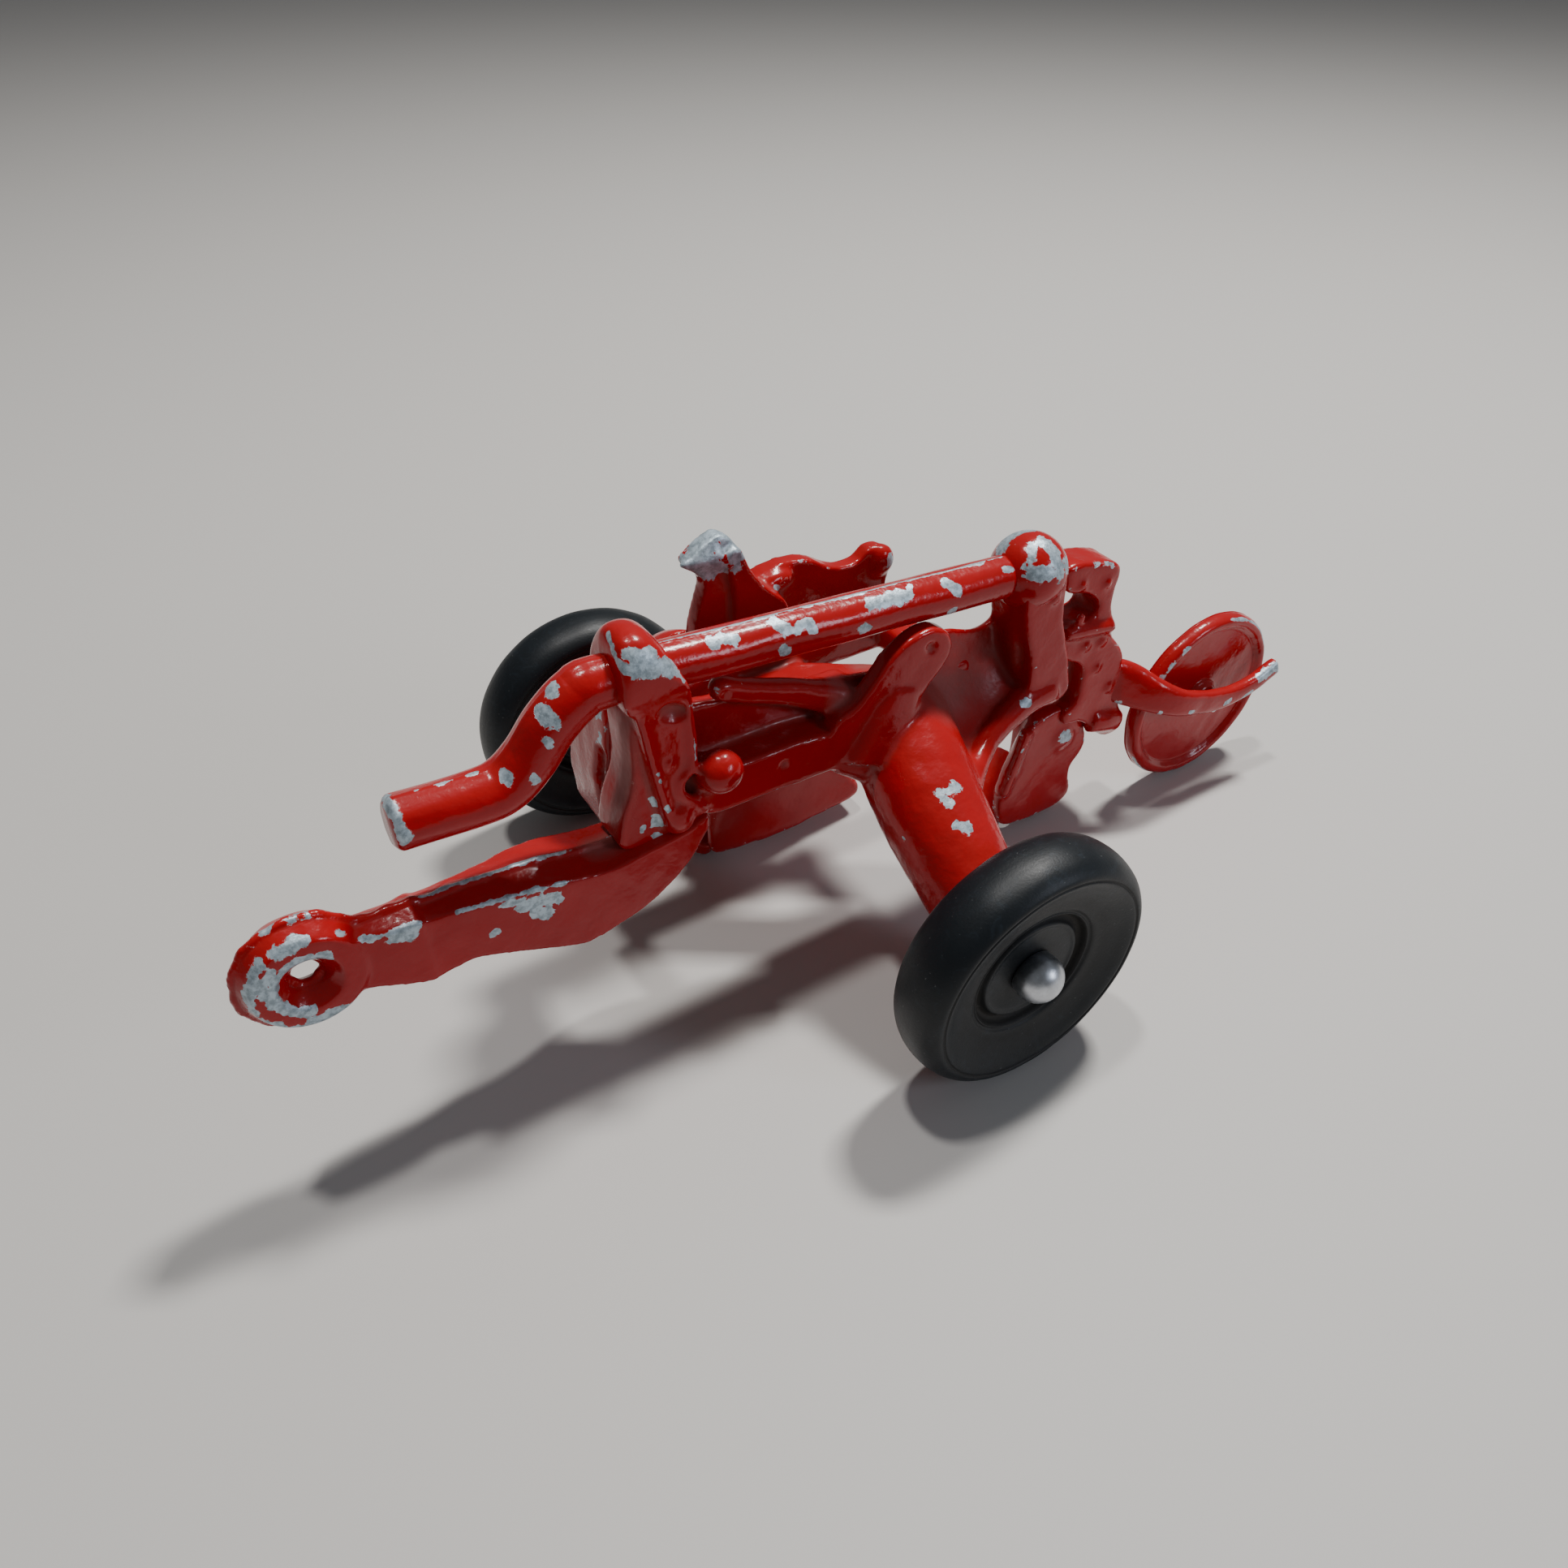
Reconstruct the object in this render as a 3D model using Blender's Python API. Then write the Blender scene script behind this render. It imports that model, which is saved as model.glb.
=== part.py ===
"""Toy two-furrow trailed plough: die-cast, hand-crank rod on top, two rubber-tyred wheels
and a small rear furrow wheel.

Drawing axes, in millimetres: +X forward to the hitch, +Y to the land side (left), +Z up.
X = 0 lies over the land wheel's axle, Y = 0 is the parting plane of the main casting and
Z = 0 is the ground.  Everything hangs from one empty, which moves the drawing so that the
part's origin is on the ground under the middle of the whole toy.
"""
import math

import bmesh
import bpy
from mathutils import Matrix, Vector

MM = 0.001
GAP = 0.3            # clearance between pieces that touch
DRAFT = 0.5          # how far a cast face is drawn in from the parting line

# Middle of the toy in the drawing, which becomes the part's origin
MIDDLE_X = 1.55
MIDDLE_Y = -4.85

# Main wheels
WHEEL_R = 16.0
WHEEL_HALF = 4.2
WHEEL_BORE = 1.8
HUB_FACE = 2.4       # hub face, measured from the wheel's middle plane
PIN_R = 1.4
PIN_HEAD_R = 2.55
PIN_HEAD_RISE = 2.3
LAND_WHEEL = (0.0, 29.0, WHEEL_R)
FURROW_WHEEL = (21.0, -38.7, WHEEL_R)

# Rear furrow wheel: a plain red disc with a bevelled rim
REAR_R = 13.4
REAR_WHEEL = (-58.6, 1.0, REAR_R)
REAR_HALF = 2.0
REAR_BORE = 1.1
REAR_PIN_R = 0.75

# Crank rod: straight shaft, S bend and handle, all in the parting plane
ROD_R = 2.6
HANDLE_R = 2.9
ROD_FRONT = (33.5, 49.2)
ROD_BACK = (-21.5, 44.95)
BALL_R = 4.75
BEARING_BORE = ROD_R + 0.4
BEARING_R = 5.0

# Hitch eye
EYE = (68.4, 27.7)
EYE_R = 6.7
EYE_DRAFT = 1.0
EYE_HOLE_R = 1.75
EYE_SINK_R = 3.0
EYE_HALF = 2.15

# Axle hub and land axle arm share one sloping axis
HUB_FOOT = Vector((-3.8, -4.4, 30.7))
HUB_TOP = Vector((-2.62, 4.5, 26.2))

# Plough bottoms: the front one is the same casting, set forward and to the furrow side
BOTTOM_STEP = (38.0, -16.2)

RED = (0.60, 0.022, 0.016, 1.0)
RED_DARK = (0.45, 0.016, 0.013, 1.0)
RUBBER = (0.022, 0.024, 0.028, 1.0)
SILVER = (0.62, 0.62, 0.63, 1.0)


def clear_scene():
    for item in list(bpy.data.objects):
        bpy.data.objects.remove(item, do_unlink=True)


def finish_material(name, colour, roughness, metallic=0.0):
    """One Principled finish, looked up by name so that pieces share it."""
    material = bpy.data.materials.get(name)
    if material is None:
        material = bpy.data.materials.new(name)
        material.use_nodes = True
        shader = material.node_tree.nodes["Principled BSDF"]
        shader.inputs["Base Color"].default_value = colour
        shader.inputs["Roughness"].default_value = roughness
        shader.inputs["Metallic"].default_value = metallic
        material.diffuse_color = colour
    return material


def enamel():
    return finish_material("red_enamel", RED, 0.25)


def rubber():
    return finish_material("black_rubber", RUBBER, 0.55)


def steel():
    return finish_material("axle_pin_steel", SILVER, 0.35, 1.0)


def add_object(name, mesh, material, location=(0.0, 0.0, 0.0), parent=None):
    """Puts a mesh, drawn in millimetres about its own origin, into the toy."""
    mesh.transform(Matrix.Scale(MM, 4))
    piece = bpy.data.objects.new(name, mesh)
    piece.location = Vector(location) * MM
    piece.parent = parent or PLOUGH
    mesh.materials.append(material)
    bpy.context.scene.collection.objects.link(piece)
    return piece


def smooth(mesh, angle=35.0):
    mesh.shade_smooth()
    mesh.set_sharp_from_angle(angle=math.radians(angle))


def mesh_from(bm, name):
    bmesh.ops.recalc_face_normals(bm, faces=bm.faces)
    mesh = bpy.data.meshes.new(name)
    bm.to_mesh(mesh)
    bm.free()
    return mesh


def cutter(mesh, location=(0.0, 0.0, 0.0)):
    """A hidden tool body that only Boolean modifiers use."""
    tool = add_object(mesh.name, mesh, enamel(), location)
    tool.hide_render = True
    tool.display_type = "WIRE"
    return tool


def cut(piece, tool):
    modifier = piece.modifiers.new("cut", "BOOLEAN")
    modifier.operation = "DIFFERENCE"
    modifier.solver = "EXACT"
    modifier.object = tool


def join(piece, tool):
    modifier = piece.modifiers.new("join", "BOOLEAN")
    modifier.operation = "UNION"
    modifier.solver = "EXACT"
    modifier.object = tool


def arc(centre, radius, start, end, steps, squash=1.0):
    """Points on an arc in the side view, angles in degrees from +X towards +Z."""
    points = []
    for i in range(steps + 1):
        a = math.radians(start + (end - start) * i / steps)
        points.append((centre[0] + radius * math.cos(a), centre[1] + radius * squash * math.sin(a)))
    return points


def inset(outline, depth):
    """The outline with each corner moved inwards so that every edge moves by depth."""
    area = sum(a[0] * b[1] - b[0] * a[1] for a, b in zip(outline, outline[1:] + outline[:1]))
    side = 1.0 if area > 0 else -1.0
    moved = []
    for i, here in enumerate(outline):
        before = Vector(here) - Vector(outline[i - 1])
        after = Vector(outline[(i + 1) % len(outline)]) - Vector(here)
        n1 = Vector((-before.y, before.x)).normalized() * side
        n2 = Vector((-after.y, after.x)).normalized() * side
        middle = (n1 + n2).normalized()
        moved.append(Vector(here) + middle * depth / max(middle.dot(n1), 0.6))
    return moved


def at(value, x):
    return value(x) if callable(value) else value


def plate_mesh(name, outline, near, far, draft=DRAFT):
    """A cast plate: the side outline is full size half way between its two faces, and each
    face is drawn in by the draft.  near and far are its Y faces, as numbers or rules of X."""
    bm = bmesh.new()
    face = inset(outline, draft)
    rings = []
    for points, share in ((face, 1.0), (outline, 0.5), (face, 0.0)):
        ring = []
        for x, z in points:
            y = at(far, x) + (at(near, x) - at(far, x)) * share
            ring.append(bm.verts.new((x, y, z)))
        rings.append(ring)
    bm.faces.new(rings[0])
    bm.faces.new(rings[2])
    for lower, upper in zip(rings, rings[1:]):
        for i in range(len(lower)):
            j = (i + 1) % len(lower)
            bm.faces.new((lower[i], lower[j], upper[j], upper[i]))
    return mesh_from(bm, name)


def cast_plate(name, outline, near, far, draft=DRAFT, location=(0.0, 0.0, 0.0)):
    return add_object(name, plate_mesh(name, outline, near, far, draft), enamel(), location)


def bar_mesh(name, path, radii, sides=12):
    """A round bar carried along a path in straight runs, with a radius at each point."""
    path = [Vector(p) for p in path]
    bm = bmesh.new()
    side = Vector((0.0, 1.0, 0.0))
    if abs((path[1] - path[0]).normalized().y) > 0.8:
        side = Vector((1.0, 0.0, 0.0))
    rings = []
    for i, point in enumerate(path):
        along = (path[min(i + 1, len(path) - 1)] - path[max(i - 1, 0)]).normalized()
        side = (side - along * side.dot(along)).normalized()
        up = along.cross(side)
        ring = []
        for k in range(sides):
            a = 2.0 * math.pi * (k + 0.5) / sides
            ring.append(bm.verts.new(point + (side * math.cos(a) + up * math.sin(a)) * radii[i]))
        rings.append(ring)
    bm.faces.new(rings[0])
    bm.faces.new(rings[-1])
    for lower, upper in zip(rings, rings[1:]):
        for k in range(sides):
            j = (k + 1) % sides
            bm.faces.new((lower[k], lower[j], upper[j], upper[k]))
    mesh = mesh_from(bm, name)
    smooth(mesh)
    return mesh


def turned_mesh(name, profile, segments=32):
    """A body of revolution about Y.  The closed profile lists (radius, y); points on the
    axis have radius 0."""
    bm = bmesh.new()
    rings = []
    for radius, y in profile:
        if radius == 0.0:
            rings.append([bm.verts.new((0.0, y, 0.0))])
            continue
        ring = []
        for k in range(segments):
            a = 2.0 * math.pi * k / segments
            ring.append(bm.verts.new((radius * math.cos(a), y, radius * math.sin(a))))
        rings.append(ring)
    pairs = list(zip(rings, rings[1:]))
    if len(rings[0]) > 1:
        pairs.append((rings[-1], rings[0]))
    for lower, upper in pairs:
        for k in range(segments):
            j = (k + 1) % segments
            corners = (lower[k % len(lower)], lower[j % len(lower)],
                       upper[j % len(upper)], upper[k % len(upper)])
            bm.faces.new(list(dict.fromkeys(corners)))
    mesh = mesh_from(bm, name)
    smooth(mesh)
    return mesh


def make_drawbar():
    """Shaft with the parting line along its middle, joined to the round flat-faced eye."""
    stations = [(63.6, 22.6, 32.2, 2.15, 2.15), (60.0, 21.4, 31.3, 2.2, 2.2), (56.7, 21.1, 30.9, 2.4, 2.4),
                (52.8, 21.8, 30.6, 2.6, 2.7), (49.0, 20.9, 30.3, 2.9, 3.4), (44.6, 19.3, 30.0, 3.1, 4.5),
                (40.7, 18.0, 29.2, 3.3, 4.8), (36.6, 18.8, 28.8, 3.5, 4.6), (34.4, 19.5, 28.8, 3.5, 3.5),
                (31.0, 21.0, 28.8, 3.5, 3.4), (28.0, 23.4, 28.8, 3.5, 3.4), (25.2, 26.8, 28.8, 3.4, 3.4)]
    bm = bmesh.new()
    rings = []
    for x, bottom, top, near, far in stations:
        section = [(0.0, top), (near, top - DRAFT), (near, bottom + DRAFT), (0.0, bottom),
                   (-far, bottom + DRAFT), (-far, top - DRAFT)]
        rings.append([bm.verts.new((x, y, z)) for y, z in section])
    bm.faces.new(rings[0])
    bm.faces.new(rings[-1])
    for lower, upper in zip(rings, rings[1:]):
        for k in range(6):
            j = (k + 1) % 6
            bm.faces.new((lower[k], lower[j], upper[j], upper[k]))
    bar = add_object("drawbar", mesh_from(bm, "drawbar"), enamel())
    ring = arc(EYE, EYE_R, 0.0, 348.75, 31)
    join(bar, cutter(plate_mesh("eye_ring", ring, EYE_HALF, -EYE_HALF, EYE_DRAFT)))
    sink = EYE_HALF + 1.0
    profile = [(0.0, -sink), (EYE_SINK_R + 0.7, -sink), (EYE_HOLE_R, -0.3), (EYE_HOLE_R, 0.3),
               (EYE_SINK_R + 0.7, sink), (0.0, sink)]
    cut(bar, cutter(turned_mesh("eye_hole", profile, 16), (EYE[0], 0.0, EYE[1])))


def make_front_post():
    outline = [(25.3, 29.2), (35.2, 29.2), (34.6, 33.0), (32.8, 37.0), (32.9, 43.4), (26.2, 43.4),
               (25.9, 37.6), (26.9, 36.4), (27.0, 34.4), (25.9, 33.0)]
    cast_plate("front_post", outline, 2.6, -3.4)
    strap = [(26.0, 31.4), (27.6, 29.9), (29.2, 31.0), (30.0, 33.9), (31.0, 38.7), (32.0, 43.4), (26.5, 43.4),
             (26.2, 37.9), (27.3, 36.4), (27.3, 34.4), (26.2, 33.0)]
    cast_plate("front_post_strap", strap, 3.9, 2.6 + GAP, 0.25)


def make_front_bearing():
    """Arched collar round the crank rod on the front post, leaned to the rod's slope."""
    bm = bmesh.new()
    half = 3.0
    base = -4.75
    outline = [(-BEARING_R, base)]
    outline += [(-BEARING_R * math.cos(math.pi * i / 12), BEARING_R * math.sin(math.pi * i / 12))
                for i in range(13)]
    outline += [(BEARING_R, base)]
    front = [bm.verts.new((half, y, z)) for y, z in outline]
    back = [bm.verts.new((-half, y, z)) for y, z in outline]
    bm.faces.new(front)
    bm.faces.new(back)
    for i in range(len(outline)):
        j = (i + 1) % len(outline)
        bm.faces.new((front[i], front[j], back[j], back[i]))
    centre = on_rod(29.8)
    tilt = Matrix.Rotation(-rod_slope(), 4, "Y")
    mesh = mesh_from(bm, "front_bearing")
    mesh.transform(tilt)
    bearing = add_object("front_bearing", mesh, enamel(), centre)
    bore = bar_mesh("bearing_bore", [(-6.0, 0.0, 0.0), (6.0, 0.0, 0.0)], (BEARING_BORE,) * 2, 16)
    bore.transform(tilt)
    cut(bearing, cutter(bore, centre))


def rod_slope():
    return math.atan2(ROD_FRONT[1] - ROD_BACK[1], ROD_FRONT[0] - ROD_BACK[0])


def on_rod(x):
    """The point of the crank's turning axis over a given X."""
    z = ROD_FRONT[1] + (x - ROD_FRONT[0]) * math.tan(rod_slope())
    return Vector((x, 0.0, z))


def curve_through(points, steps):
    """Catmull-Rom curve through the points, with steps pieces to each span."""
    points = [Vector(p) for p in points]
    ends = [points[0] * 2 - points[1]] + points + [points[-1] * 2 - points[-2]]
    path = []
    for i in range(len(points) - 1):
        a, b, c, d = ends[i:i + 4]
        for k in range(steps):
            t = k / steps
            path.append(0.5 * (2 * b + (c - a) * t + (2 * a - 5 * b + 4 * c - d) * t * t
                               + (3 * b - a - 3 * c + d) * t * t * t))
    path.append(points[-1])
    return path


def make_crank():
    """Crank rod and its ball, both turning about the rod's own axis."""
    pivot = on_rod(0.0)
    bend = [(34.2, 0.0, 49.25), (36.9, 0.0, 48.6), (39.9, 0.0, 46.4), (42.6, 0.0, 43.3),
            (45.2, 0.0, 41.2), (48.6, 0.0, 40.6), (57.2, 0.0, 41.3)]
    path = [on_rod(ROD_BACK[0] + BALL_R + GAP), on_rod(5.0)] + curve_through(bend, 2)
    radii = [ROD_R, ROD_R] + [ROD_R] + [HANDLE_R] * (len(path) - 3)
    mesh = bar_mesh("crank_rod", [p - pivot for p in path], radii, 14)
    add_object("crank_rod", mesh, enamel(), pivot)
    bm = bmesh.new()
    bmesh.ops.create_uvsphere(bm, u_segments=20, v_segments=12, radius=BALL_R)
    ball = mesh_from(bm, "crank_ball")
    smooth(ball)
    ball.transform(Matrix.Translation(on_rod(ROD_BACK[0]) - pivot))
    add_object("crank_ball", ball, enamel(), pivot)


def make_rear_post():
    outline = [(-18.2, 43.6), (-19.4, 38.8), (-20.8, 33.0), (-21.4, 29.6), (-19.4, 26.8), (-22.0, 24.6),
               (-26.2, 25.2), (-28.3, 27.0), (-27.4, 32.0), (-24.6, 40.0), (-24.9, 43.6)]
    post = cast_plate("rear_post", outline, 3.5, -2.8)
    bm = bmesh.new()
    bmesh.ops.create_uvsphere(bm, u_segments=20, v_segments=12, radius=BALL_R + GAP)
    cup = mesh_from(bm, "rear_post_cup")
    cut(post, cutter(cup, on_rod(ROD_BACK[0])))


def hub_axis(distance):
    """A point on the axle hub's sloping axis, measured from its furrow-side end."""
    along = (HUB_TOP - HUB_FOOT).normalized()
    return HUB_FOOT + along * distance


def make_hub_and_arm():
    length = (HUB_TOP - HUB_FOOT).length
    add_object("axle_hub", bar_mesh("axle_hub", [HUB_FOOT, HUB_TOP], (6.2, 6.9), 20), enamel())
    arm_path = [hub_axis(length + GAP), hub_axis(length + 1.5), (-1.2, 13.4, 21.6), (-0.6, 19.0, 18.6),
                (-0.1, 23.2, 16.5), (0.0, LAND_WHEEL[1] - HUB_FACE - 0.2 - GAP, LAND_WHEEL[2])]
    radii = (6.9, 6.6, 6.0, 5.5, 5.0, 3.5)
    arm = add_object("land_axle_arm", bar_mesh("land_axle_arm", arm_path, radii, 20), enamel())
    cut(arm, pin_bore("land_pin_bore", LAND_WHEEL, 1))


def pin_bore(name, wheel, outward):
    """Blind hole in an axle arm that takes the wheel's pin."""
    start = wheel[1] - outward * 1.0
    end = wheel[1] - outward * 10.6
    path = [(wheel[0], start, wheel[2]), (wheel[0], end, wheel[2])]
    return cutter(bar_mesh(name, path, (PIN_R + GAP,) * 2, 12))


def make_levers():
    """Two short levers that stand on the hub's land side, drawn in the side view."""
    hub_tool = cutter(bar_mesh("hub_clearance", [hub_axis(-1.0), hub_axis(20.0)], (6.2 + GAP, 8.1), 20))
    tip = arc((-5.9, 40.9), 2.4, 200.0, 50.0, 5)
    lift = [(-3.6, 34.0)] + tip + [(0.9, 38.4), (2.6, 35.4), (1.0, 33.0)]
    cut(cast_plate("lift_lever", lift, 4.9, 1.6), hub_tool)
    finger_tip = arc((20.7, 43.6), 1.5, -70.0, 110.0, 5)
    finger = [(5.2, 33.4)] + finger_tip + [(12.0, 41.1), (6.6, 39.4), (3.4, 37.2), (3.0, 33.6)]
    cut(cast_plate("finger_lever", finger, 1.3, -1.9), hub_tool)


def make_land_beam():
    outline = [(24.7, 29.4), (24.7, 35.3), (12.0, 35.2), (5.3, 31.9), (5.0, 29.4), (6.8, 28.6), (12.0, 29.4)]
    cast_plate("land_beam", outline, 3.3, -2.8)
    stud = bar_mesh("clevis_stud", [(22.8, 3.3 + GAP, 35.8), (22.9, 5.2, 36.3), (23.0, 6.3, 36.7)],
                    (2.2, 2.1, 1.2), 12)
    add_object("clevis_stud", stud, enamel())


def make_web():
    """Dished web between the hub and the rear post, and the arched rib below it."""
    hub_side = arc((-3.4, 28.7), 7.5, 212.0, 122.0, 8, 1.13)
    outline = hub_side + [(-7.6, 37.0), (-12.0, 36.2), (-16.2, 36.2), (-19.2, 38.2), (-20.5, 33.0),
                          (-21.1, 29.4), (-19.1, 26.6), (-17.0, 24.6), (-14.0, 21.6)]
    cast_plate("frame_web", outline, 1.3, -1.3, 0.2)
    path = curve_through([(-21.4, 2.4, 23.6), (-18.2, 3.3, 21.9), (-15.6, 4.8, 19.2), (-13.9, 7.4, 15.9),
                          (-11.0, 10.6, 14.9)], 2)
    rib = add_object("arched_rib", bar_mesh("arched_rib", path, (1.3,) * len(path), 10), enamel())
    arm_tool = bar_mesh("arm_clearance", [hub_axis(5.0), (-1.2, 13.4, 21.6), (-0.6, 19.0, 18.6)],
                        (7.2, 6.4, 5.9), 20)
    cut(rib, cutter(arm_tool))


def beam(name, start, end, half_width, half_height):
    """A straight cast bar of oblong section.  Its ends are square to whichever of the two
    ground directions it mostly crosses, so that they lie flat against the beams."""
    start = Vector(start)
    end = Vector(end)
    lengthways = abs(end.y - start.y) < 1.0
    side = Vector((0.0, half_width, 0.0)) if lengthways else Vector((half_width, 0.0, 0.0))
    rise = Vector((0.0, 0.0, half_height))
    soft = 0.72
    section = [side * soft + rise, side + rise * soft, side - rise * soft, side * soft - rise,
               -side * soft - rise, -side - rise * soft, -side + rise * soft, -side * soft + rise]
    bm = bmesh.new()
    rings = [[bm.verts.new(point + corner) for corner in section] for point in (start, end)]
    bm.faces.new(rings[0])
    bm.faces.new(rings[1])
    for i in range(len(section)):
        j = (i + 1) % len(section)
        bm.faces.new((rings[0][i], rings[0][j], rings[1][j], rings[1][i]))
    return add_object(name, mesh_from(bm, name), enamel())


def make_furrow_frame():
    """Furrow-side beam, the front cross plate and the braces that tie the two sides."""
    beam("furrow_beam", (31.0, -16.2, 32.4), (-15.0, -16.2, 32.4), 2.6, 2.6)
    cross = [(29.6, 24.6), (33.6, 24.6), (33.8, 31.0), (33.0, 44.0), (29.8, 43.0)]
    cast_plate("front_cross_plate", cross, -3.4 - GAP, -13.2, 0.3)
    beam("diagonal_brace", (9.5, -13.3, 31.2), (-2.4, -5.6, 31.2), 3.7, 2.0)
    beam("rear_brace", (-12.4, -13.3, 32.2), (-12.4, -1.7, 32.2), 2.4, 2.0)


def make_furrow_side():
    """Hub, levers and axle arm of the furrow wheel."""
    hub_path = [(15.2, -21.9, 31.0), (16.2, -25.0, 27.6)]
    add_object("furrow_hub", bar_mesh("furrow_hub", hub_path, (5.2, 5.6), 16), enamel())
    arm_path = [(16.3, -25.3, 27.2), (16.6, -26.3, 26.0), (18.6, -28.9, 22.0), (20.2, -31.2, 18.2),
                (21.0, -33.4, 16.3), (21.0, FURROW_WHEEL[1] + HUB_FACE + 0.2 + GAP, 16.0)]
    radii = (5.6, 5.5, 5.2, 4.9, 4.4, 3.6)
    arm = add_object("furrow_axle_arm", bar_mesh("furrow_axle_arm", arm_path, radii, 16), enamel())
    cut(arm, pin_bore("furrow_pin_bore", FURROW_WHEEL, -1))
    lever = [(16.2, 35.3), (15.8, 41.3), (15.0, 45.2), (15.6, 48.4), (16.6, 50.6), (12.3, 52.6),
             (10.1, 50.6), (10.2, 47.4), (7.6, 43.8), (6.0, 40.0), (5.4, 35.3)]
    cast_plate("broken_lever", lever, -14.4, -16.7, 0.35)
    lug = arc((-12.4, 39.9), 2.4, 200.0, 70.0, 4)
    web = [(9.2, 35.3), (8.4, 41.0), (5.8, 44.0), (1.8, 44.4), (-2.0, 43.8), (-5.9, 41.4), (-9.1, 41.4)]
    web += list(reversed(lug)) + [(-12.8, 35.3)]
    cast_plate("furrow_lever_web", web, -17.0, -19.2, 0.35)


def make_rear_standard():
    """Standard of the rear bottom: tall block with a notch right through it."""
    outline = [(-27.9, 43.9), (-36.4, 42.0), (-38.0, 40.4), (-37.4, 37.6), (-37.3, 35.1), (-38.3, 32.3),
               (-38.3, 30.4), (-41.0, 27.4), (-41.9, 25.6), (-42.0, 23.4), (-42.6, 18.0),
               (-43.8, 15.0), (-43.4, 12.0), (-40.6, 12.8), (-36.2, 19.2), (-32.6, 19.4),
               (-32.3, 27.0), (-29.5, 30.6), (-29.3, 34.2), (-34.6, 34.4), (-34.9, 36.4), (-32.6, 38.4),
               (-28.4, 39.4)]
    cast_plate("rear_standard", outline, 0.6, -4.6, 0.4)


REAR_LANDSIDE = [(-23.4, 3.2), (-25.2, 1.5), (-34.0, 0.8), (-37.6, 2.8), (-35.9, 7.6), (-39.0, 11.2),
                 (-35.8, 17.6), (-32.4, 18.9), (-26.4, 18.8), (-22.8, 9.2)]
FRONT_LANDSIDE = [(14.4, 9.2), (14.4, 3.4), (13.2, 2.2), (2.8, 1.2), (-5.0, 2.0), (-10.2, 2.4),
                  (-11.0, 4.4), (-7.6, 9.4), (-2.6, 12.6), (0.6, 18.6), (5.6, 18.9), (11.6, 18.6)]


def make_bottom(label, landside, step_x, step_y):
    """One plough bottom: landside, share and mouldboard, at its place along the frame."""
    cast_plate(label + "_landside", landside, step_y - 0.4, step_y - 3.8, 0.3)

    # share: a flat blade, nose at the land side and wing swept back to the furrow side
    bm = bmesh.new()
    plan = [(-22.6, -4.2), (-29.4, -4.2), (-36.2, -13.6), (-33.2, -14.6)]
    heights = [(0.9, 3.0), (0.9, 7.6), (0.9, 5.6), (0.9, 2.0)]
    low = [bm.verts.new((x + step_x, y + step_y, h[0])) for (x, y), h in zip(plan, heights)]
    high = [bm.verts.new((x + step_x, y + step_y, h[1])) for (x, y), h in zip(plan, heights)]
    bm.faces.new(low)
    bm.faces.new(high)
    for i in range(4):
        j = (i + 1) % 4
        bm.faces.new((low[i], low[j], high[j], high[i]))
    add_object(label + "_share", mesh_from(bm, label + "_share"), enamel())

    # mouldboard: a sheet that leans back and curls over to the furrow side
    bm = bmesh.new()
    columns = 7
    rows = 6
    grid = []
    for skin in (0.0, 1.7):
        for i in range(columns):
            u = i / (columns - 1)
            for j in range(rows):
                v = j / (rows - 1)
                x = -26.6 - 12.0 * u - 2.0 * v + step_x - skin * 0.8
                y = -4.9 - 9.0 * u ** 1.15 - 3.0 * v * v * u + step_y
                z = 8.6 - 1.2 * u + v * (17.6 + 2.0 * u - 6.0 * u * u)
                grid.append(bm.verts.new((x, y, z)))
    half = columns * rows

    def vert(skin, i, j):
        return grid[skin * half + i * rows + j]

    for skin in (0, 1):
        for i in range(columns - 1):
            for j in range(rows - 1):
                bm.faces.new((vert(skin, i, j), vert(skin, i + 1, j), vert(skin, i + 1, j + 1),
                              vert(skin, i, j + 1)))
    for i in range(columns - 1):
        for j in (0, rows - 1):
            bm.faces.new((vert(0, i, j), vert(0, i + 1, j), vert(1, i + 1, j), vert(1, i, j)))
    for j in range(rows - 1):
        for i in (0, columns - 1):
            bm.faces.new((vert(0, i, j), vert(0, i, j + 1), vert(1, i, j + 1), vert(1, i, j)))
    add_object(label + "_mouldboard", mesh_from(bm, label + "_mouldboard"), enamel())


def make_front_standard():
    """Leg that carries the front bottom under the furrow beam."""
    outline = [(11.0, 29.5), (-3.0, 29.5), (-4.6, 24.0), (-1.0, 19.3), (11.6, 19.2), (13.0, 22.6)]
    cast_plate("front_standard", outline, -15.4, -19.4, 0.3)


def wheel_mesh(name):
    """Rubber wheel with its tyre and web in one: domed tread, dished faces, plain bore."""
    face = [(WHEEL_BORE, HUB_FACE - 0.1), (6.9, HUB_FACE), (7.8, HUB_FACE - 0.5), (8.8, HUB_FACE),
            (11.4, 3.7), (13.2, WHEEL_HALF), (14.8, 3.6), (15.7, 2.1), (WHEEL_R, 0.6)]
    profile = face + [(radius, -y) for radius, y in reversed(face)]
    return turned_mesh(name, profile, 40)


def pin_mesh(name, outward):
    """Domed axle pin: the head sits on the hub face and the shank runs into the arm."""
    seat = HUB_FACE + GAP
    profile = [(0.0, seat + PIN_HEAD_RISE)]
    for i in range(1, 5):
        a = math.pi / 2 * i / 4
        profile.append((PIN_HEAD_R * math.sin(a), seat + PIN_HEAD_RISE * math.cos(a)))
    profile += [(PIN_R, seat), (PIN_R, -9.8), (0.0, -9.8)]
    return turned_mesh(name, [(radius, y * outward) for radius, y in profile], 20)


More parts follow.
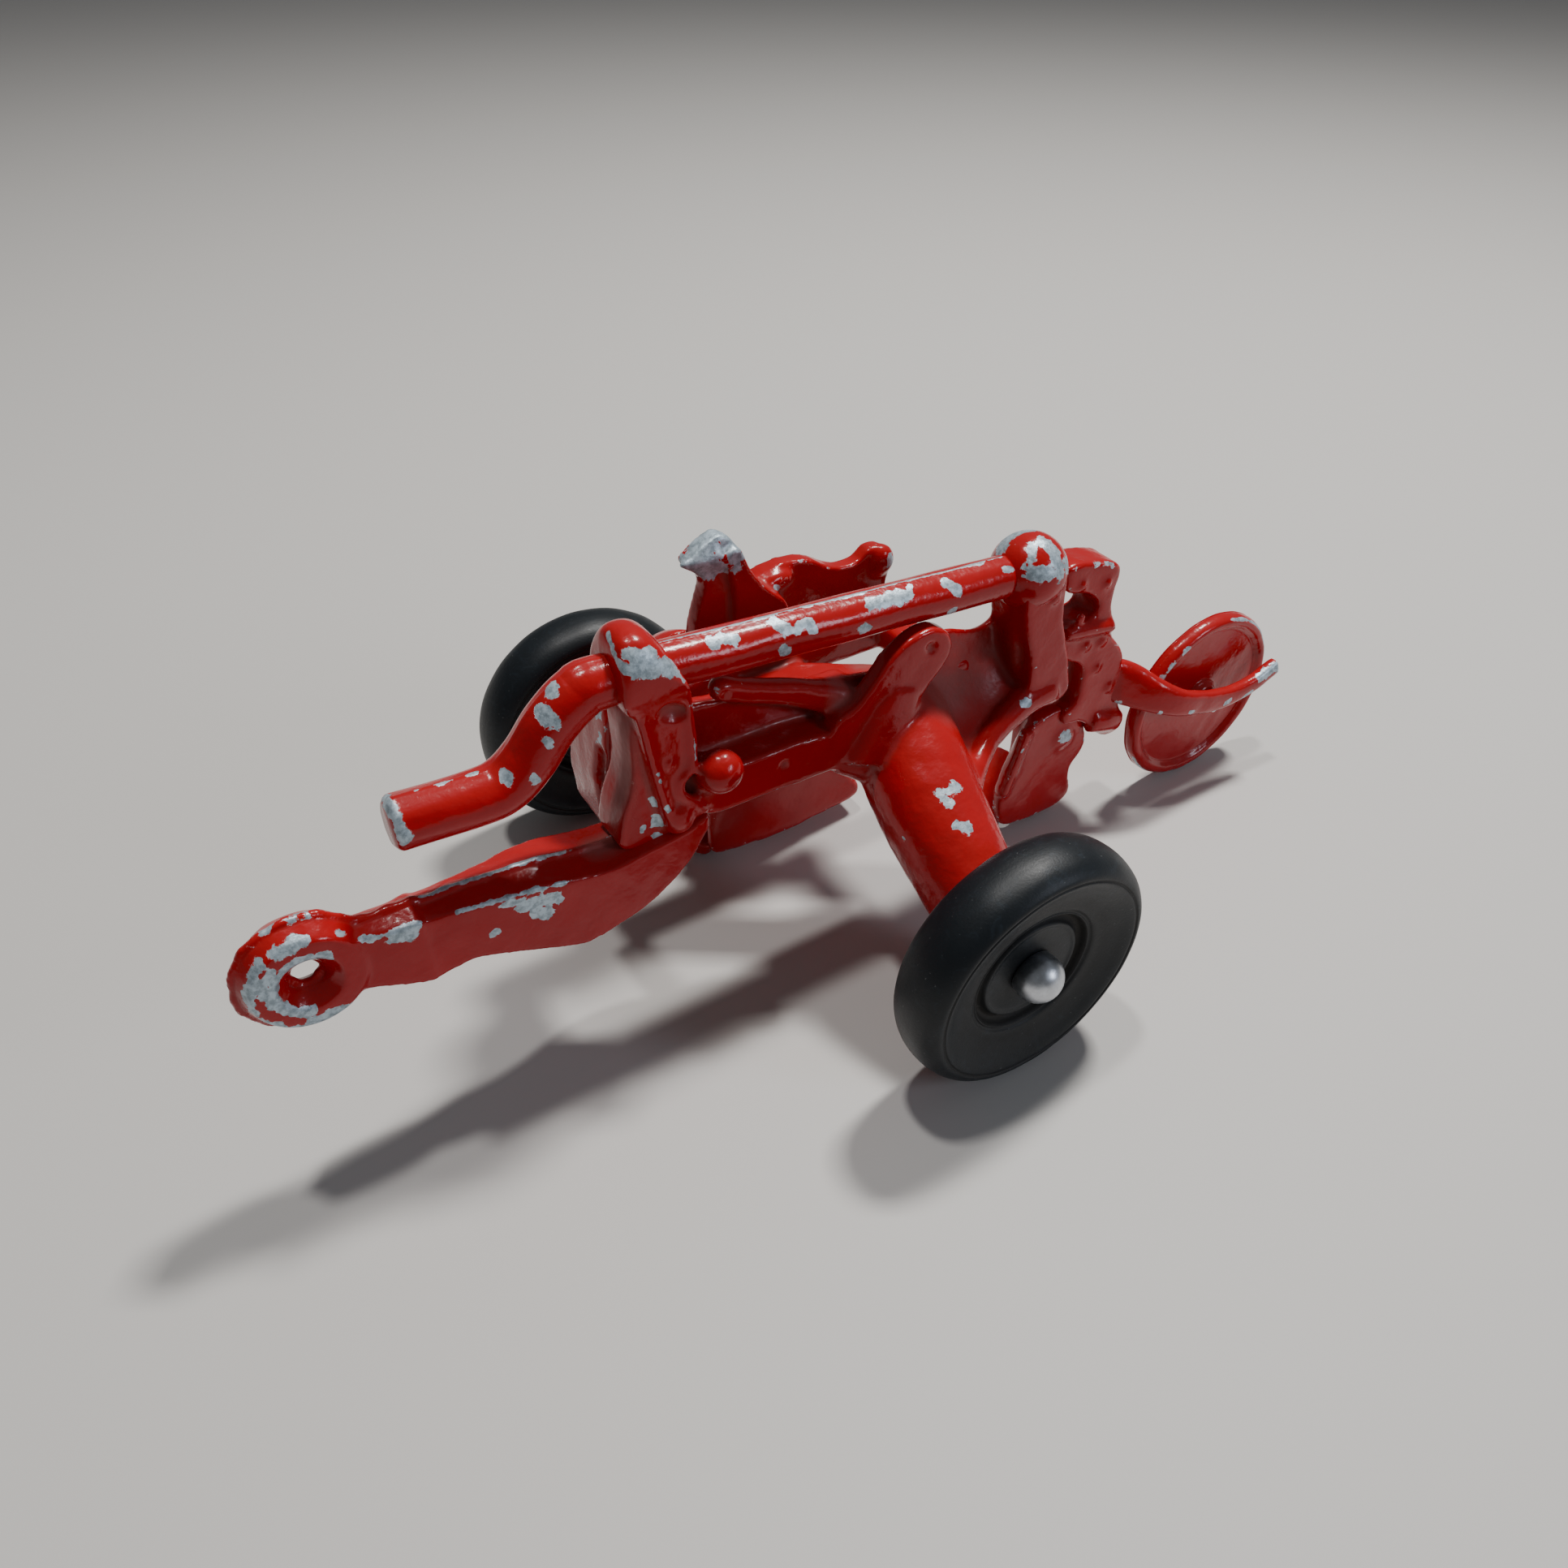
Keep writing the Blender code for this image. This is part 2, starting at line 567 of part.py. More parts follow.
def make_wheels():
    for label, wheel, outward in (("land", LAND_WHEEL, 1), ("furrow", FURROW_WHEEL, -1)):
        add_object(label + "_wheel", wheel_mesh(label + "_wheel"), rubber(), wheel)
        add_object(label + "_axle_pin", pin_mesh(label + "_axle_pin", outward), steel(), wheel)


def make_rear_wheel():
    """Rear furrow wheel, its stub pin, and the strap arm that crosses its outer face."""
    half = REAR_HALF
    profile = [(REAR_BORE, half - 0.4), (11.6, half - 0.4), (12.3, half), (12.9, half - 0.3),
               (REAR_R, -0.6), (REAR_R, -half), (REAR_BORE, -half)]
    add_object("rear_wheel", turned_mesh("rear_wheel", profile, 36), enamel(), REAR_WHEEL)

    x, y, z = REAR_WHEEL
    strap = beam_strip("rear_wheel_arm", [(-39.4, 2.1, 22.8, 3.4), (-43.0, 2.5, 21.1, 3.2),
                                          (-45.8, 4.6, 19.4, 2.5), (-50.1, 4.9, 17.4, 1.9),
                                          (-58.4, 4.9, 14.4, 1.9), (-64.5, 4.9, 14.2, 1.3),
                                          (-70.2, 4.9, 15.9, 1.4)], 1.2)
    hole = bar_mesh("stub_pin_bore", [(x, y - 6.0, z), (x, y + 4.3, z)], (REAR_PIN_R + GAP,) * 2, 12)
    cut(strap, cutter(hole))
    pin = [(0.0, -half - 1.2), (1.5, -half - 0.8), (1.7, -half - GAP), (REAR_PIN_R, -half - GAP),
           (REAR_PIN_R, 4.0), (0.0, 4.0)]
    add_object("rear_axle_pin", turned_mesh("rear_axle_pin", pin, 12), steel(), REAR_WHEEL)


def beam_strip(name, stations, half_thickness):
    """A flat bar on edge: each station gives its middle and half height."""
    bm = bmesh.new()
    rings = []
    for x, y, z, half in stations:
        rings.append([bm.verts.new((x, y + half_thickness, z + half)),
                      bm.verts.new((x, y + half_thickness, z - half)),
                      bm.verts.new((x, y - half_thickness, z - half)),
                      bm.verts.new((x, y - half_thickness, z + half))])
    bm.faces.new(rings[0])
    bm.faces.new(rings[-1])
    for lower, upper in zip(rings, rings[1:]):
        for k in range(4):
            j = (k + 1) % 4
            bm.faces.new((lower[k], lower[j], upper[j], upper[k]))
    return add_object(name, mesh_from(bm, name), enamel())


clear_scene()
PLOUGH = bpy.data.objects.new("plough", None)
PLOUGH.location = (-MIDDLE_X * MM, -MIDDLE_Y * MM, 0.0)
bpy.context.scene.collection.objects.link(PLOUGH)
make_drawbar()
make_front_post()
make_front_bearing()
make_crank()
make_rear_post()
make_hub_and_arm()
make_levers()
make_land_beam()
make_web()
make_furrow_frame()
make_furrow_side()
make_rear_standard()
make_bottom("rear", REAR_LANDSIDE, 0.0, 0.0)
make_front_standard()
make_bottom("front", FRONT_LANDSIDE, *BOTTOM_STEP)
make_wheels()
make_rear_wheel()
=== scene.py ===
"""Looks for the toy two-furrow trailed plough: thick red enamel over a zinc casting, chipped down
to bare metal, with black rubber wheels on domed steel pins.

Shapes are written in the maker's drawing, in millimetres: +X forward to the hitch, +Y to the land
side, +Z up, with X = 0 over the land wheel's axle, Y = 0 on the casting's parting plane and Z = 0
on the ground.  place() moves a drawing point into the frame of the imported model.
"""

import bmesh
import bpy
import numpy as np
from mathutils import Matrix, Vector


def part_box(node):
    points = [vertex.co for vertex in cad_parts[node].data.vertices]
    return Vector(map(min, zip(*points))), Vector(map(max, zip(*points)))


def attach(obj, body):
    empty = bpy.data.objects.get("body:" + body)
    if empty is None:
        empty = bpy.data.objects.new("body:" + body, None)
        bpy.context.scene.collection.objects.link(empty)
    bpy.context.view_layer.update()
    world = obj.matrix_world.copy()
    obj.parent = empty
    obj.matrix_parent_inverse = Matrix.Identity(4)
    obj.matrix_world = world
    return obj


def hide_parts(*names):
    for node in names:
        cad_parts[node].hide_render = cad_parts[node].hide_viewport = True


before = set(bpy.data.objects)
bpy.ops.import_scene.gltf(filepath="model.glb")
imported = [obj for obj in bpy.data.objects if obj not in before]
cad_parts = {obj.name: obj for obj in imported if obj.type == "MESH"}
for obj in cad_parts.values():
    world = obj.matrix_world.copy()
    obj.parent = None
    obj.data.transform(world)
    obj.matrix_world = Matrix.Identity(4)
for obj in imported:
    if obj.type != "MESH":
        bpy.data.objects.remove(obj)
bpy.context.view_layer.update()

MM = 0.001
LAND_AXLE = np.array([0.0, 29.0, 16.0])
low, high = (np.array(corner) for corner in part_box("land_wheel"))
ORIGIN = (low + high) / 2.0 - LAND_AXLE * MM


def centre_of(node):
    """Middle of a CAD node's box, in drawing millimetres."""
    corners = [np.array(corner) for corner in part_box(node)]
    return ((corners[0] + corners[1]) / 2.0 - ORIGIN) / MM


def place(points):
    """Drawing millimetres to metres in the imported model's frame."""
    return ORIGIN + np.asarray(points, float) * MM


FURROW_AXLE = centre_of("furrow_wheel")
REAR_AXLE = centre_of("rear_wheel")
ROD_FRONT = np.array([33.5, 0.0, 49.2])
ROD_BACK = np.array([-21.5, 0.0, 44.95])
ROD_ALONG = (ROD_FRONT - ROD_BACK) / np.linalg.norm(ROD_FRONT - ROD_BACK)
FORWARD = np.array([1.0, 0.0, 0.0])
ACROSS = np.array([0.0, 1.0, 0.0])
UP = np.array([0.0, 0.0, 1.0])


# ---------------------------------------------------------------- shapes as numpy surfaces

def smooth_path(points, count):
    """Catmull-Rom curve through the rows of points, read at count even steps of its parameter:
    each span is 0.5 (2b + (c-a)t + (2a-5b+4c-d)t^2 + (3b-a-3c+d)t^3)."""
    points = np.asarray(points, float)
    ends = np.vstack([2 * points[0] - points[1], points, 2 * points[-1] - points[-2]])
    s = np.linspace(0.0, len(points) - 1, count)
    i = np.minimum(s.astype(int), len(points) - 2)
    t = (s - i)[:, None]
    a, b, c, d = ends[i], ends[i + 1], ends[i + 2], ends[i + 3]
    return 0.5 * (2 * b + (c - a) * t + (2 * a - 5 * b + 4 * c - d) * t ** 2
                  + (3 * b - a - 3 * c + d) * t ** 3)


def even_path(points, spacing):
    """The same curve with its points evenly spaced along its length."""
    fine = smooth_path(points, 40 * len(points))
    run = np.concatenate([[0.0], np.cumsum(np.linalg.norm(np.diff(fine[:, :3], axis=0), axis=1))])
    s = np.linspace(0.0, run[-1], max(int(run[-1] / spacing), 4))
    return np.stack([np.interp(s, run, fine[:, k]) for k in range(fine.shape[1])], axis=1)


def skin(rings, close_ends=True):
    """A closed surface through rings[i, k]: quads between neighbouring rings, and a flat face
    over the first and last ring."""
    count, sides = rings.shape[:2]
    i, k = np.meshgrid(np.arange(count - 1), np.arange(sides), indexing="ij")
    a = i * sides + k
    b = i * sides + (k + 1) % sides
    faces = np.stack([a, b, b + sides, a + sides], axis=-1).reshape(-1, 4).tolist()
    if close_ends:
        faces.append(list(range(sides - 1, -1, -1)))
        faces.append(list(range((count - 1) * sides, count * sides)))
    return rings.reshape(-1, 3), faces


BAR_SIDES = 32


def bar(path, side=ACROSS, power=2.0, step=0.6):
    """A bar carried along a smooth path.  Rows of path are x, y, z, half width, half height; the
    section is the superellipse (|cos|^(2/p), |sin|^(2/p)) with its width along side."""
    path = even_path(path, step)
    along = np.gradient(path[:, :3], axis=0)
    along /= np.linalg.norm(along, axis=1)[:, None]
    side = np.broadcast_to(side, along.shape)
    side = side - along * np.sum(side * along, axis=1)[:, None]
    side /= np.linalg.norm(side, axis=1)[:, None]
    up = np.cross(along, side)
    angle = np.linspace(0.0, 2.0 * np.pi, BAR_SIDES, endpoint=False)
    c = np.sign(np.cos(angle)) * np.abs(np.cos(angle)) ** (2.0 / power)
    s = np.sign(np.sin(angle)) * np.abs(np.sin(angle)) ** (2.0 / power)
    rings = (path[:, None, :3] + side[:, None] * (path[:, 3:4] * c)[..., None]
             + up[:, None] * (path[:, 4:5] * s)[..., None])
    return skin(rings)


def cut_corners(outline, cut, rounds):
    """Chaikin's rule on a closed outline: each side keeps its points at cut and 1 - cut."""
    outline = np.asarray(outline, float)
    for _ in range(rounds):
        after = np.roll(outline, -1, axis=0)
        outline = np.stack([(1.0 - cut) * outline + cut * after,
                            cut * outline + (1.0 - cut) * after], 1).reshape(-1, 2)
    return outline


def plate(outline, near, far):
    """A flat plate: the outline of (x, z), its corners cut, carried from Y = far to Y = near."""
    outline = cut_corners(outline, 0.2, 2)
    sheets = [np.stack([outline[:, 0], np.full(len(outline), float(y)), outline[:, 1]], axis=1)
              for y in (far, near)]
    return skin(np.stack(sheets))


def turned(profile, centre, segments=96, ring=False):
    """A body of revolution about Y: rows of profile are radius and distance along Y, and each is
    carried round by (cos, -sin) of the angle in X and Z.  A ring has a closed profile; any other
    starts and ends on the axis."""
    profile = np.asarray(profile, float)
    angle = np.linspace(0.0, 2.0 * np.pi, segments, endpoint=False)
    around = np.cos(angle)[:, None] * FORWARD - np.sin(angle)[:, None] * UP
    if ring:
        profile = np.vstack([profile, profile[:1]])
    rings = (np.asarray(centre, float) + profile[:, None, 1:2] * ACROSS
             + profile[:, None, :1] * around[None])
    return skin(rings, close_ends=False)


def ball(centre, radii):
    """An ellipsoid: the unit sphere (cos v cos u, cos v sin u, sin v) times its radii."""
    v = np.linspace(-np.pi / 2, np.pi / 2, 25)[:, None]
    u = np.linspace(0.0, 2.0 * np.pi, 32, endpoint=False)[None, :]
    unit = np.stack([np.cos(v) * np.cos(u), np.cos(v) * np.sin(u), np.sin(v) + 0.0 * u], axis=-1)
    return skin(unit * np.asarray(radii, float) + np.asarray(centre, float), close_ends=False)


# ---------------------------------------------------------------- from shapes to pieces

def joined(shapes):
    """Many closed shapes as one list of points and faces."""
    verts, faces, start = [], [], 0
    for v, f in shapes:
        verts.append(v)
        faces += [[i + start for i in face] for face in f]
        start += len(v)
    return np.vstack(verts), faces


def closed_mesh(name, verts, faces):
    """A mesh in the model's frame, its doubles merged and its faces turned outwards."""
    mesh = bpy.data.meshes.new(name)
    mesh.from_pydata(place(verts).tolist(), [], faces)
    shell = bmesh.new()
    shell.from_mesh(mesh)
    bmesh.ops.remove_doubles(shell, verts=shell.verts, dist=2e-6)
    bmesh.ops.recalc_face_normals(shell, faces=shell.faces)
    shell.to_mesh(mesh)
    shell.free()
    return mesh


def read_points(mesh):
    """The mesh's points in drawing millimetres."""
    points = np.empty(len(mesh.vertices) * 3)
    mesh.vertices.foreach_get("co", points)
    return (points.reshape(-1, 3) - ORIGIN) / MM


def read_normals(mesh):
    normals = np.empty(len(mesh.vertices) * 3)
    mesh.vertex_normals.foreach_get("vector", normals)
    return normals.reshape(-1, 3)


def read_ends(mesh):
    """The two points at the ends of each edge."""
    ends = np.empty(len(mesh.edges) * 2, np.int64)
    mesh.edges.foreach_get("vertices", ends)
    return ends.reshape(-1, 2)


def move_points(mesh, points):
    mesh.vertices.foreach_set("co", place(points).ravel())
    mesh.update()


def relaxed(values, ends, rounds):
    """In each round, each row moves half of the way to the mean of its neighbours."""
    count = len(values)
    share = np.maximum(np.bincount(ends.ravel(), minlength=count), 1)[:, None]
    for _ in range(rounds):
        total = np.stack([np.bincount(ends[:, 0], values[ends[:, 1], k], count)
                          + np.bincount(ends[:, 1], values[ends[:, 0], k], count)
                          for k in range(values.shape[1])], axis=1)
        values = values + 0.5 * (total / share - values)
    return values


WAVES = 9


def unevenness(points, size, seed):
    """A smooth field of roughly -1 to 1 with bumps of about size: 1.6 times the mean of the sines
    of plane waves in spread directions."""
    wave = np.random.default_rng(seed)
    direction = wave.normal(size=(WAVES, 3))
    direction *= (2.0 * np.pi / size / np.linalg.norm(direction, axis=1))[:, None]
    direction *= wave.uniform(0.7, 1.5, (WAVES, 1))
    phase = wave.uniform(0.0, 2.0 * np.pi, WAVES)
    return np.sin(points @ direction.T + phase).mean(axis=1) * 1.6


def reach(points, marks):
    """For rows of marks (x, y, z, x, y, z, r): 1 on the line between the two ends, 0 at distance
    r and below 0 outside, the greatest over all the rows."""
    best = np.full(len(points), -1.5)
    for row in np.asarray(marks, float).reshape(-1, 7):
        start, along, radius = row[:3], row[3:6] - row[:3], row[6]
        t = np.clip((points - start) @ along / max(along @ along, 1e-9), 0.0, 1.0)
        away = np.linalg.norm(points - start - t[:, None] * along, axis=1)
        best = np.maximum(best, 1.0 - away / radius)
    return best


def write_field(mesh, name, values):
    field = mesh.attributes.new(name, "FLOAT", "POINT")
    field.data.foreach_set("value", np.asarray(values, np.float32))


def paint_fields(mesh, points, chips, dusty, edge_wear):
    """Leaves on the mesh what its enamel follows: where it is chipped away and where dust lies.
    How far a point lies below the mean of the points around it gives dust in the hollows and,
    times edge_wear, worn paint on the edges that stand out."""
    ends = read_ends(mesh)
    normals = read_normals(mesh)
    sunk = np.sum((relaxed(points, ends, 6) - points) * normals, axis=1)
    sunk = relaxed(sunk[:, None], ends, 3)[:, 0]
    wear = reach(points, chips)
    wear = np.maximum(wear, -0.6 + edge_wear * np.clip(-sunk / 0.05, 0.0, 1.2))
    dust = (np.clip(sunk / 0.06 - 0.2, 0.0, 1.0) * 0.8
            + np.clip(reach(points, dusty), 0.0, 1.0) * 1.4)
    write_field(mesh, "chipped", wear)
    write_field(mesh, "dusty", dust)


def finish_piece(name, mesh, body, replaced, material):
    """Makes the mesh a finished piece that rides on body and takes the place of CAD nodes."""
    piece = bpy.data.objects.new(name, mesh)
    bpy.context.scene.collection.objects.link(piece)
    mesh.shade_smooth()
    mesh.materials.clear()
    mesh.materials.append(material)
    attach(piece, body)
    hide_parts(*replaced)
    return piece


CAST_EDGE_WEAR = 0.45
SKIN_WAVES = ((0.05, 3.6, 5), (0.01, 1.7, 9))
FLASH_HALF_WIDTH = 0.5


def grown_together(name, shapes, grain):
    """One closed mesh over overlapping shapes, on a grid of cells of size grain."""
    blank = bpy.data.objects.new("blank", closed_mesh(name, *joined(shapes)))
    bpy.context.scene.collection.objects.link(blank)
    modifier = blank.modifiers.new("grow together", "REMESH")
    modifier.mode = "VOXEL"
    modifier.voxel_size = grain * MM
    graph = bpy.context.evaluated_depsgraph_get()
    mesh = bpy.data.meshes.new_from_object(blank.evaluated_get(graph))
    bpy.data.objects.remove(blank)
    mesh.name = name
    return mesh


def cast_piece(name, shapes, replaced, grain, rounds, chips=(), dusty=(), flash=0.0, sinks=()):
    """A casting under thick enamel: overlapping closed shapes grow together on a fine grid, then
    rounds of relaxing soften every crease and edge, and the surface is left a little uneven.
    Rows of sinks (x, y, z, x, y, z, r, depth) press round dents of depth b^2 (3 - 2b) into it at
    b of the way in from their border, and flash is the height of the ragged line that the mould
    left along the parting plane."""
    mesh = grown_together(name, shapes, grain)
    points = relaxed(read_points(mesh), read_ends(mesh), rounds)
    normals = read_normals(mesh)
    waves = sum(height * unevenness(points, size, seed) for height, size, seed in SKIN_WAVES)
    points = points + normals * waves[:, None]
    if flash:
        line = np.clip(1.0 - (np.abs(points[:, 1]) / FLASH_HALF_WIDTH) ** 2, 0.0, 1.0)
        line *= np.abs(normals[:, 1]) < 0.55
        ragged = 0.8 + 0.5 * unevenness(points, 2.2, 17)
        points = points + normals * (flash * line * ragged)[:, None]
    for row in sinks:
        bowl = np.clip(reach(points, row[:7]), 0.0, 1.0)
        points = points - normals * (row[7] * bowl ** 2 * (3.0 - 2.0 * bowl))[:, None]
    move_points(mesh, points)
    paint_fields(mesh, points, chips, dusty, CAST_EDGE_WEAR)
    return finish_piece(name, mesh, "frame", replaced, ENAMEL)


# ---------------------------------------------------------------- node helpers

def new_group(name, inputs, outputs):
    """An empty node group, its input and output nodes, with its sockets named and typed."""
    tree = bpy.data.node_groups.new(name, "ShaderNodeTree")
    for label, kind, value in inputs:
        socket = tree.interface.new_socket(label, in_out="INPUT", socket_type="NodeSocket" + kind)
        socket.default_value = value
    for label, kind in outputs:
        tree.interface.new_socket(label, in_out="OUTPUT", socket_type="NodeSocket" + kind)
    return tree, tree.nodes.new("NodeGroupInput"), tree.nodes.new("NodeGroupOutput")


def node(tree, kind, **settings):
    """A node with its properties set, and its inputs by number or name."""
    made = tree.nodes.new("ShaderNode" + kind)
    inputs = settings.pop("inputs", {})
    for key, value in settings.items():
        setattr(made, key, value)
    for key, value in inputs.items():
        if isinstance(value, bpy.types.NodeSocket):
            tree.links.new(value, made.inputs[key])
        else:
            made.inputs[key].default_value = value
    return made


def maths(tree, operation, a, b=0.0, c=0.0):
    return node(tree, "Math", operation=operation, inputs={0: a, 1: b, 2: c}).outputs[0]


def between(tree, value, start, end):
    """0 below start, 1 above end, and a smooth step between."""
    made = node(tree, "MapRange", interpolation_type="SMOOTHSTEP",
                inputs={0: value, 1: start, 2: end})
    return made.outputs[0]


def mixed(tree, share, a, b):
    """Colour a where share is 0 and b where it is 1."""
    made = node(tree, "Mix", data_type="RGBA", inputs={0: share, 6: a, 7: b})
    return made.outputs[2]


def noise(tree, vector, scale, detail, roughness, distortion=0.0):
    made = node(tree, "TexNoise", inputs={"Vector": vector, "Scale": scale, "Detail": detail,
                                          "Roughness": roughness, "Distortion": distortion})
    return made.outputs[0]


def millimetres(tree):
    """The surface's own place in millimetres."""
    metres = node(tree, "TexCoord").outputs["Object"]
    return node(tree, "VectorMath", operation="SCALE",
                inputs={0: metres, "Scale": 1.0 / MM}).outputs[0]


VECTOR = ("Vector", "Vector", (0, 0, 0))


def build_chips_group():
    """Where thick paint has broken away: the mesh's chipped field with a ragged border, and the
    pale rim of thinned paint round it."""
    tree, take, give = new_group("Chipped Paint", [VECTOR, ("Chipped", "Float", 0.0)],
                                 [("Bare", "Float"), ("Rim", "Float")])
    vector = take.outputs["Vector"]
    ragged = maths(tree, "SUBTRACT", noise(tree, vector, 0.8, 3.5, 0.55, 0.3), 0.5)
    fine = maths(tree, "SUBTRACT", noise(tree, vector, 2.6, 3.0, 0.6), 0.5)
    level = maths(tree, "MULTIPLY_ADD", ragged, 1.9, take.outputs["Chipped"])
    level = maths(tree, "MULTIPLY_ADD", fine, 0.35, level)
    bare = between(tree, level, 0.205, 0.225)
    rim = maths(tree, "MULTIPLY", between(tree, level, 0.15, 0.2),
                maths(tree, "SUBTRACT", 1.0, bare))
    tree.links.new(bare, give.inputs["Bare"])
    tree.links.new(rim, give.inputs["Rim"])
    return tree


def build_film_group():
    """Hand-dipped enamel: orange peel over slow runs as one height, and a slow change of shade."""
    tree, take, give = new_group("Enamel Film", [VECTOR, ("Peel", "Float", 0.7)],
                                 [("Height", "Float"), ("Shade", "Float")])
    vector = take.outputs["Vector"]
    peel = noise(tree, vector, 1.3, 2.0, 0.45)
    runs = noise(tree, vector, 0.34, 2.0, 0.5, 0.6)
    height = maths(tree, "MULTIPLY_ADD", peel, take.outputs["Peel"], runs)
    tree.links.new(height, give.inputs["Height"])
    tree.links.new(noise(tree, vector, 0.12, 3.0, 0.55), give.inputs["Shade"])
    return tree


def build_zinc_group():
    """Bare die-cast zinc: pale blue-grey, cloudy with oxide, and grainy."""
    tree, take, give = new_group(
        "Bare Zinc", [VECTOR, ("Pale", "Color", (0.50, 0.60, 0.67, 1)),
                      ("Dull", "Color", (0.27, 0.33, 0.37, 1))],
        [("Color", "Color"), ("Roughness", "Float"), ("Height", "Float")])
    vector = take.outputs["Vector"]
    cloud = noise(tree, vector, 1.4, 5.0, 0.65)
    grit = noise(tree, vector, 5.0, 3.0, 0.6)
    colour = mixed(tree, between(tree, cloud, 0.36, 0.62), take.outputs["Dull"],
                   take.outputs["Pale"])
    tree.links.new(colour, give.inputs["Color"])
    tree.links.new(maths(tree, "MULTIPLY_ADD", grit, 0.3, 0.28), give.inputs["Roughness"])
    tree.links.new(maths(tree, "MULTIPLY_ADD", cloud, 0.6, grit), give.inputs["Height"])
    return tree


def build_dust_group():
    """Old dust: in the hollows the mesh marks, and a thin veil on what faces up, both cloudy."""
    tree, take, give = new_group(
        "Settled Dust", [VECTOR, ("Dusty", "Float", 0.0), ("Veil", "Float", 0.2)],
        [("Amount", "Float")])
    normal = node(tree, "NewGeometry").outputs["Normal"]
    up = node(tree, "SeparateXYZ", inputs={0: normal}).outputs["Z"]
    cloud = noise(tree, take.outputs["Vector"], 0.8, 4.0, 0.6)
    veil = maths(tree, "MULTIPLY", between(tree, up, 0.25, 1.0), take.outputs["Veil"])
    amount = maths(tree, "ADD", veil, take.outputs["Dusty"])
    amount = maths(tree, "MULTIPLY", amount, maths(tree, "MULTIPLY_ADD", cloud, 1.1, 0.42))
    tree.links.new(node(tree, "Clamp", inputs={0: amount}).outputs[0], give.inputs["Amount"])
    return tree


CHIPS = build_chips_group()
FILM = build_film_group()
ZINC = build_zinc_group()
DUST = build_dust_group()


def use(tree, group, **inputs):
    """The outputs of a group placed in tree with its own values."""
    made = tree.nodes.new("ShaderNodeGroup")
    made.node_tree = group
    for key, value in inputs.items():
        if isinstance(value, bpy.types.NodeSocket):
            tree.links.new(value, made.inputs[key])
        else:
            made.inputs[key].default_value = value
    return made.outputs


def new_material(name):
    """A material, its tree and its Principled BSDF."""
    material = bpy.data.materials.new(name)
    material.use_nodes = True
    return material, material.node_tree, material.node_tree.nodes["Principled BSDF"]


def field(tree, name):
    """A value left on the mesh by write_field."""
    return node(tree, "Attribute", attribute_name=name).outputs["Fac"]


BRIGHT_RED, DEEP_RED = (0.43, 0.003, 0.006, 1), (0.31, 0.002, 0.005, 1)
THIN_RED, DUSTY_RED = (0.70, 0.30, 0.28, 1), (0.22, 0.07, 0.062, 1)
PAINT_STEP, ZINC_GRAIN = 2.4, 0.25


def enamel_material():
    """Glossy red enamel over zinc: chips, dust and the film's own unevenness.  The bump's height
    is PAINT_STEP under paint, the zinc's grain where it is bare, and the film everywhere."""
    material, tree, shader = new_material("red_enamel")
    vector = millimetres(tree)
    chips = use(tree, CHIPS, Vector=vector, Chipped=field(tree, "chipped"))
    film = use(tree, FILM, Vector=vector, Peel=0.7)
    zinc = use(tree, ZINC, Vector=vector)
    dust = use(tree, DUST, Vector=vector, Dusty=field(tree, "dusty"), Veil=0.16)
    red = mixed(tree, film["Shade"], DEEP_RED, BRIGHT_RED)
    red = mixed(tree, maths(tree, "MULTIPLY", chips["Rim"], 0.5), red, THIN_RED)
    red = mixed(tree, maths(tree, "MULTIPLY", dust["Amount"], 0.72), red, DUSTY_RED)
    colour = mixed(tree, chips["Bare"], red, zinc["Color"])
    rough = maths(tree, "MULTIPLY_ADD", dust["Amount"], 0.38, 0.17)
    rough = node(tree, "Mix", inputs={0: chips["Bare"], 2: rough, 3: zinc["Roughness"]}).outputs[0]
    tree.links.new(colour, shader.inputs["Base Color"])
    tree.links.new(rough, shader.inputs["Roughness"])
    tree.links.new(maths(tree, "MULTIPLY", chips["Bare"], 0.45), shader.inputs["Metallic"])
    painted = maths(tree, "SUBTRACT", 1.0, chips["Bare"])
    clean = maths(tree, "SUBTRACT", 1.0, dust["Amount"])
    coat = maths(tree, "MULTIPLY", maths(tree, "MULTIPLY", painted, clean), 0.12)
    tree.links.new(coat, shader.inputs["Coat Weight"])
    shader.inputs["Coat Roughness"].default_value = 0.06
    shader.inputs["Specular IOR Level"].default_value = 0.26
    step = maths(tree, "MULTIPLY", painted, PAINT_STEP)
    grain = maths(tree, "MULTIPLY", chips["Bare"], ZINC_GRAIN)
    height = maths(tree, "MULTIPLY_ADD", zinc["Height"], grain, step)
    height = maths(tree, "ADD", height, film["Height"])
    bump = node(tree, "Bump", inputs={"Height": height, "Strength": 0.8, "Distance": 0.00009})
    tree.links.new(bump.outputs[0], shader.inputs["Normal"])
    return material


DARK_RUBBER, PALE_RUBBER = (0.003, 0.0048, 0.0065, 1), (0.0065, 0.010, 0.0135, 1)
SCUFFED_RUBBER, GREY_SPECK = (0.017, 0.026, 0.036, 1), (0.15, 0.16, 0.16, 1)
BROWN_DUST = (0.034, 0.027, 0.02, 1)


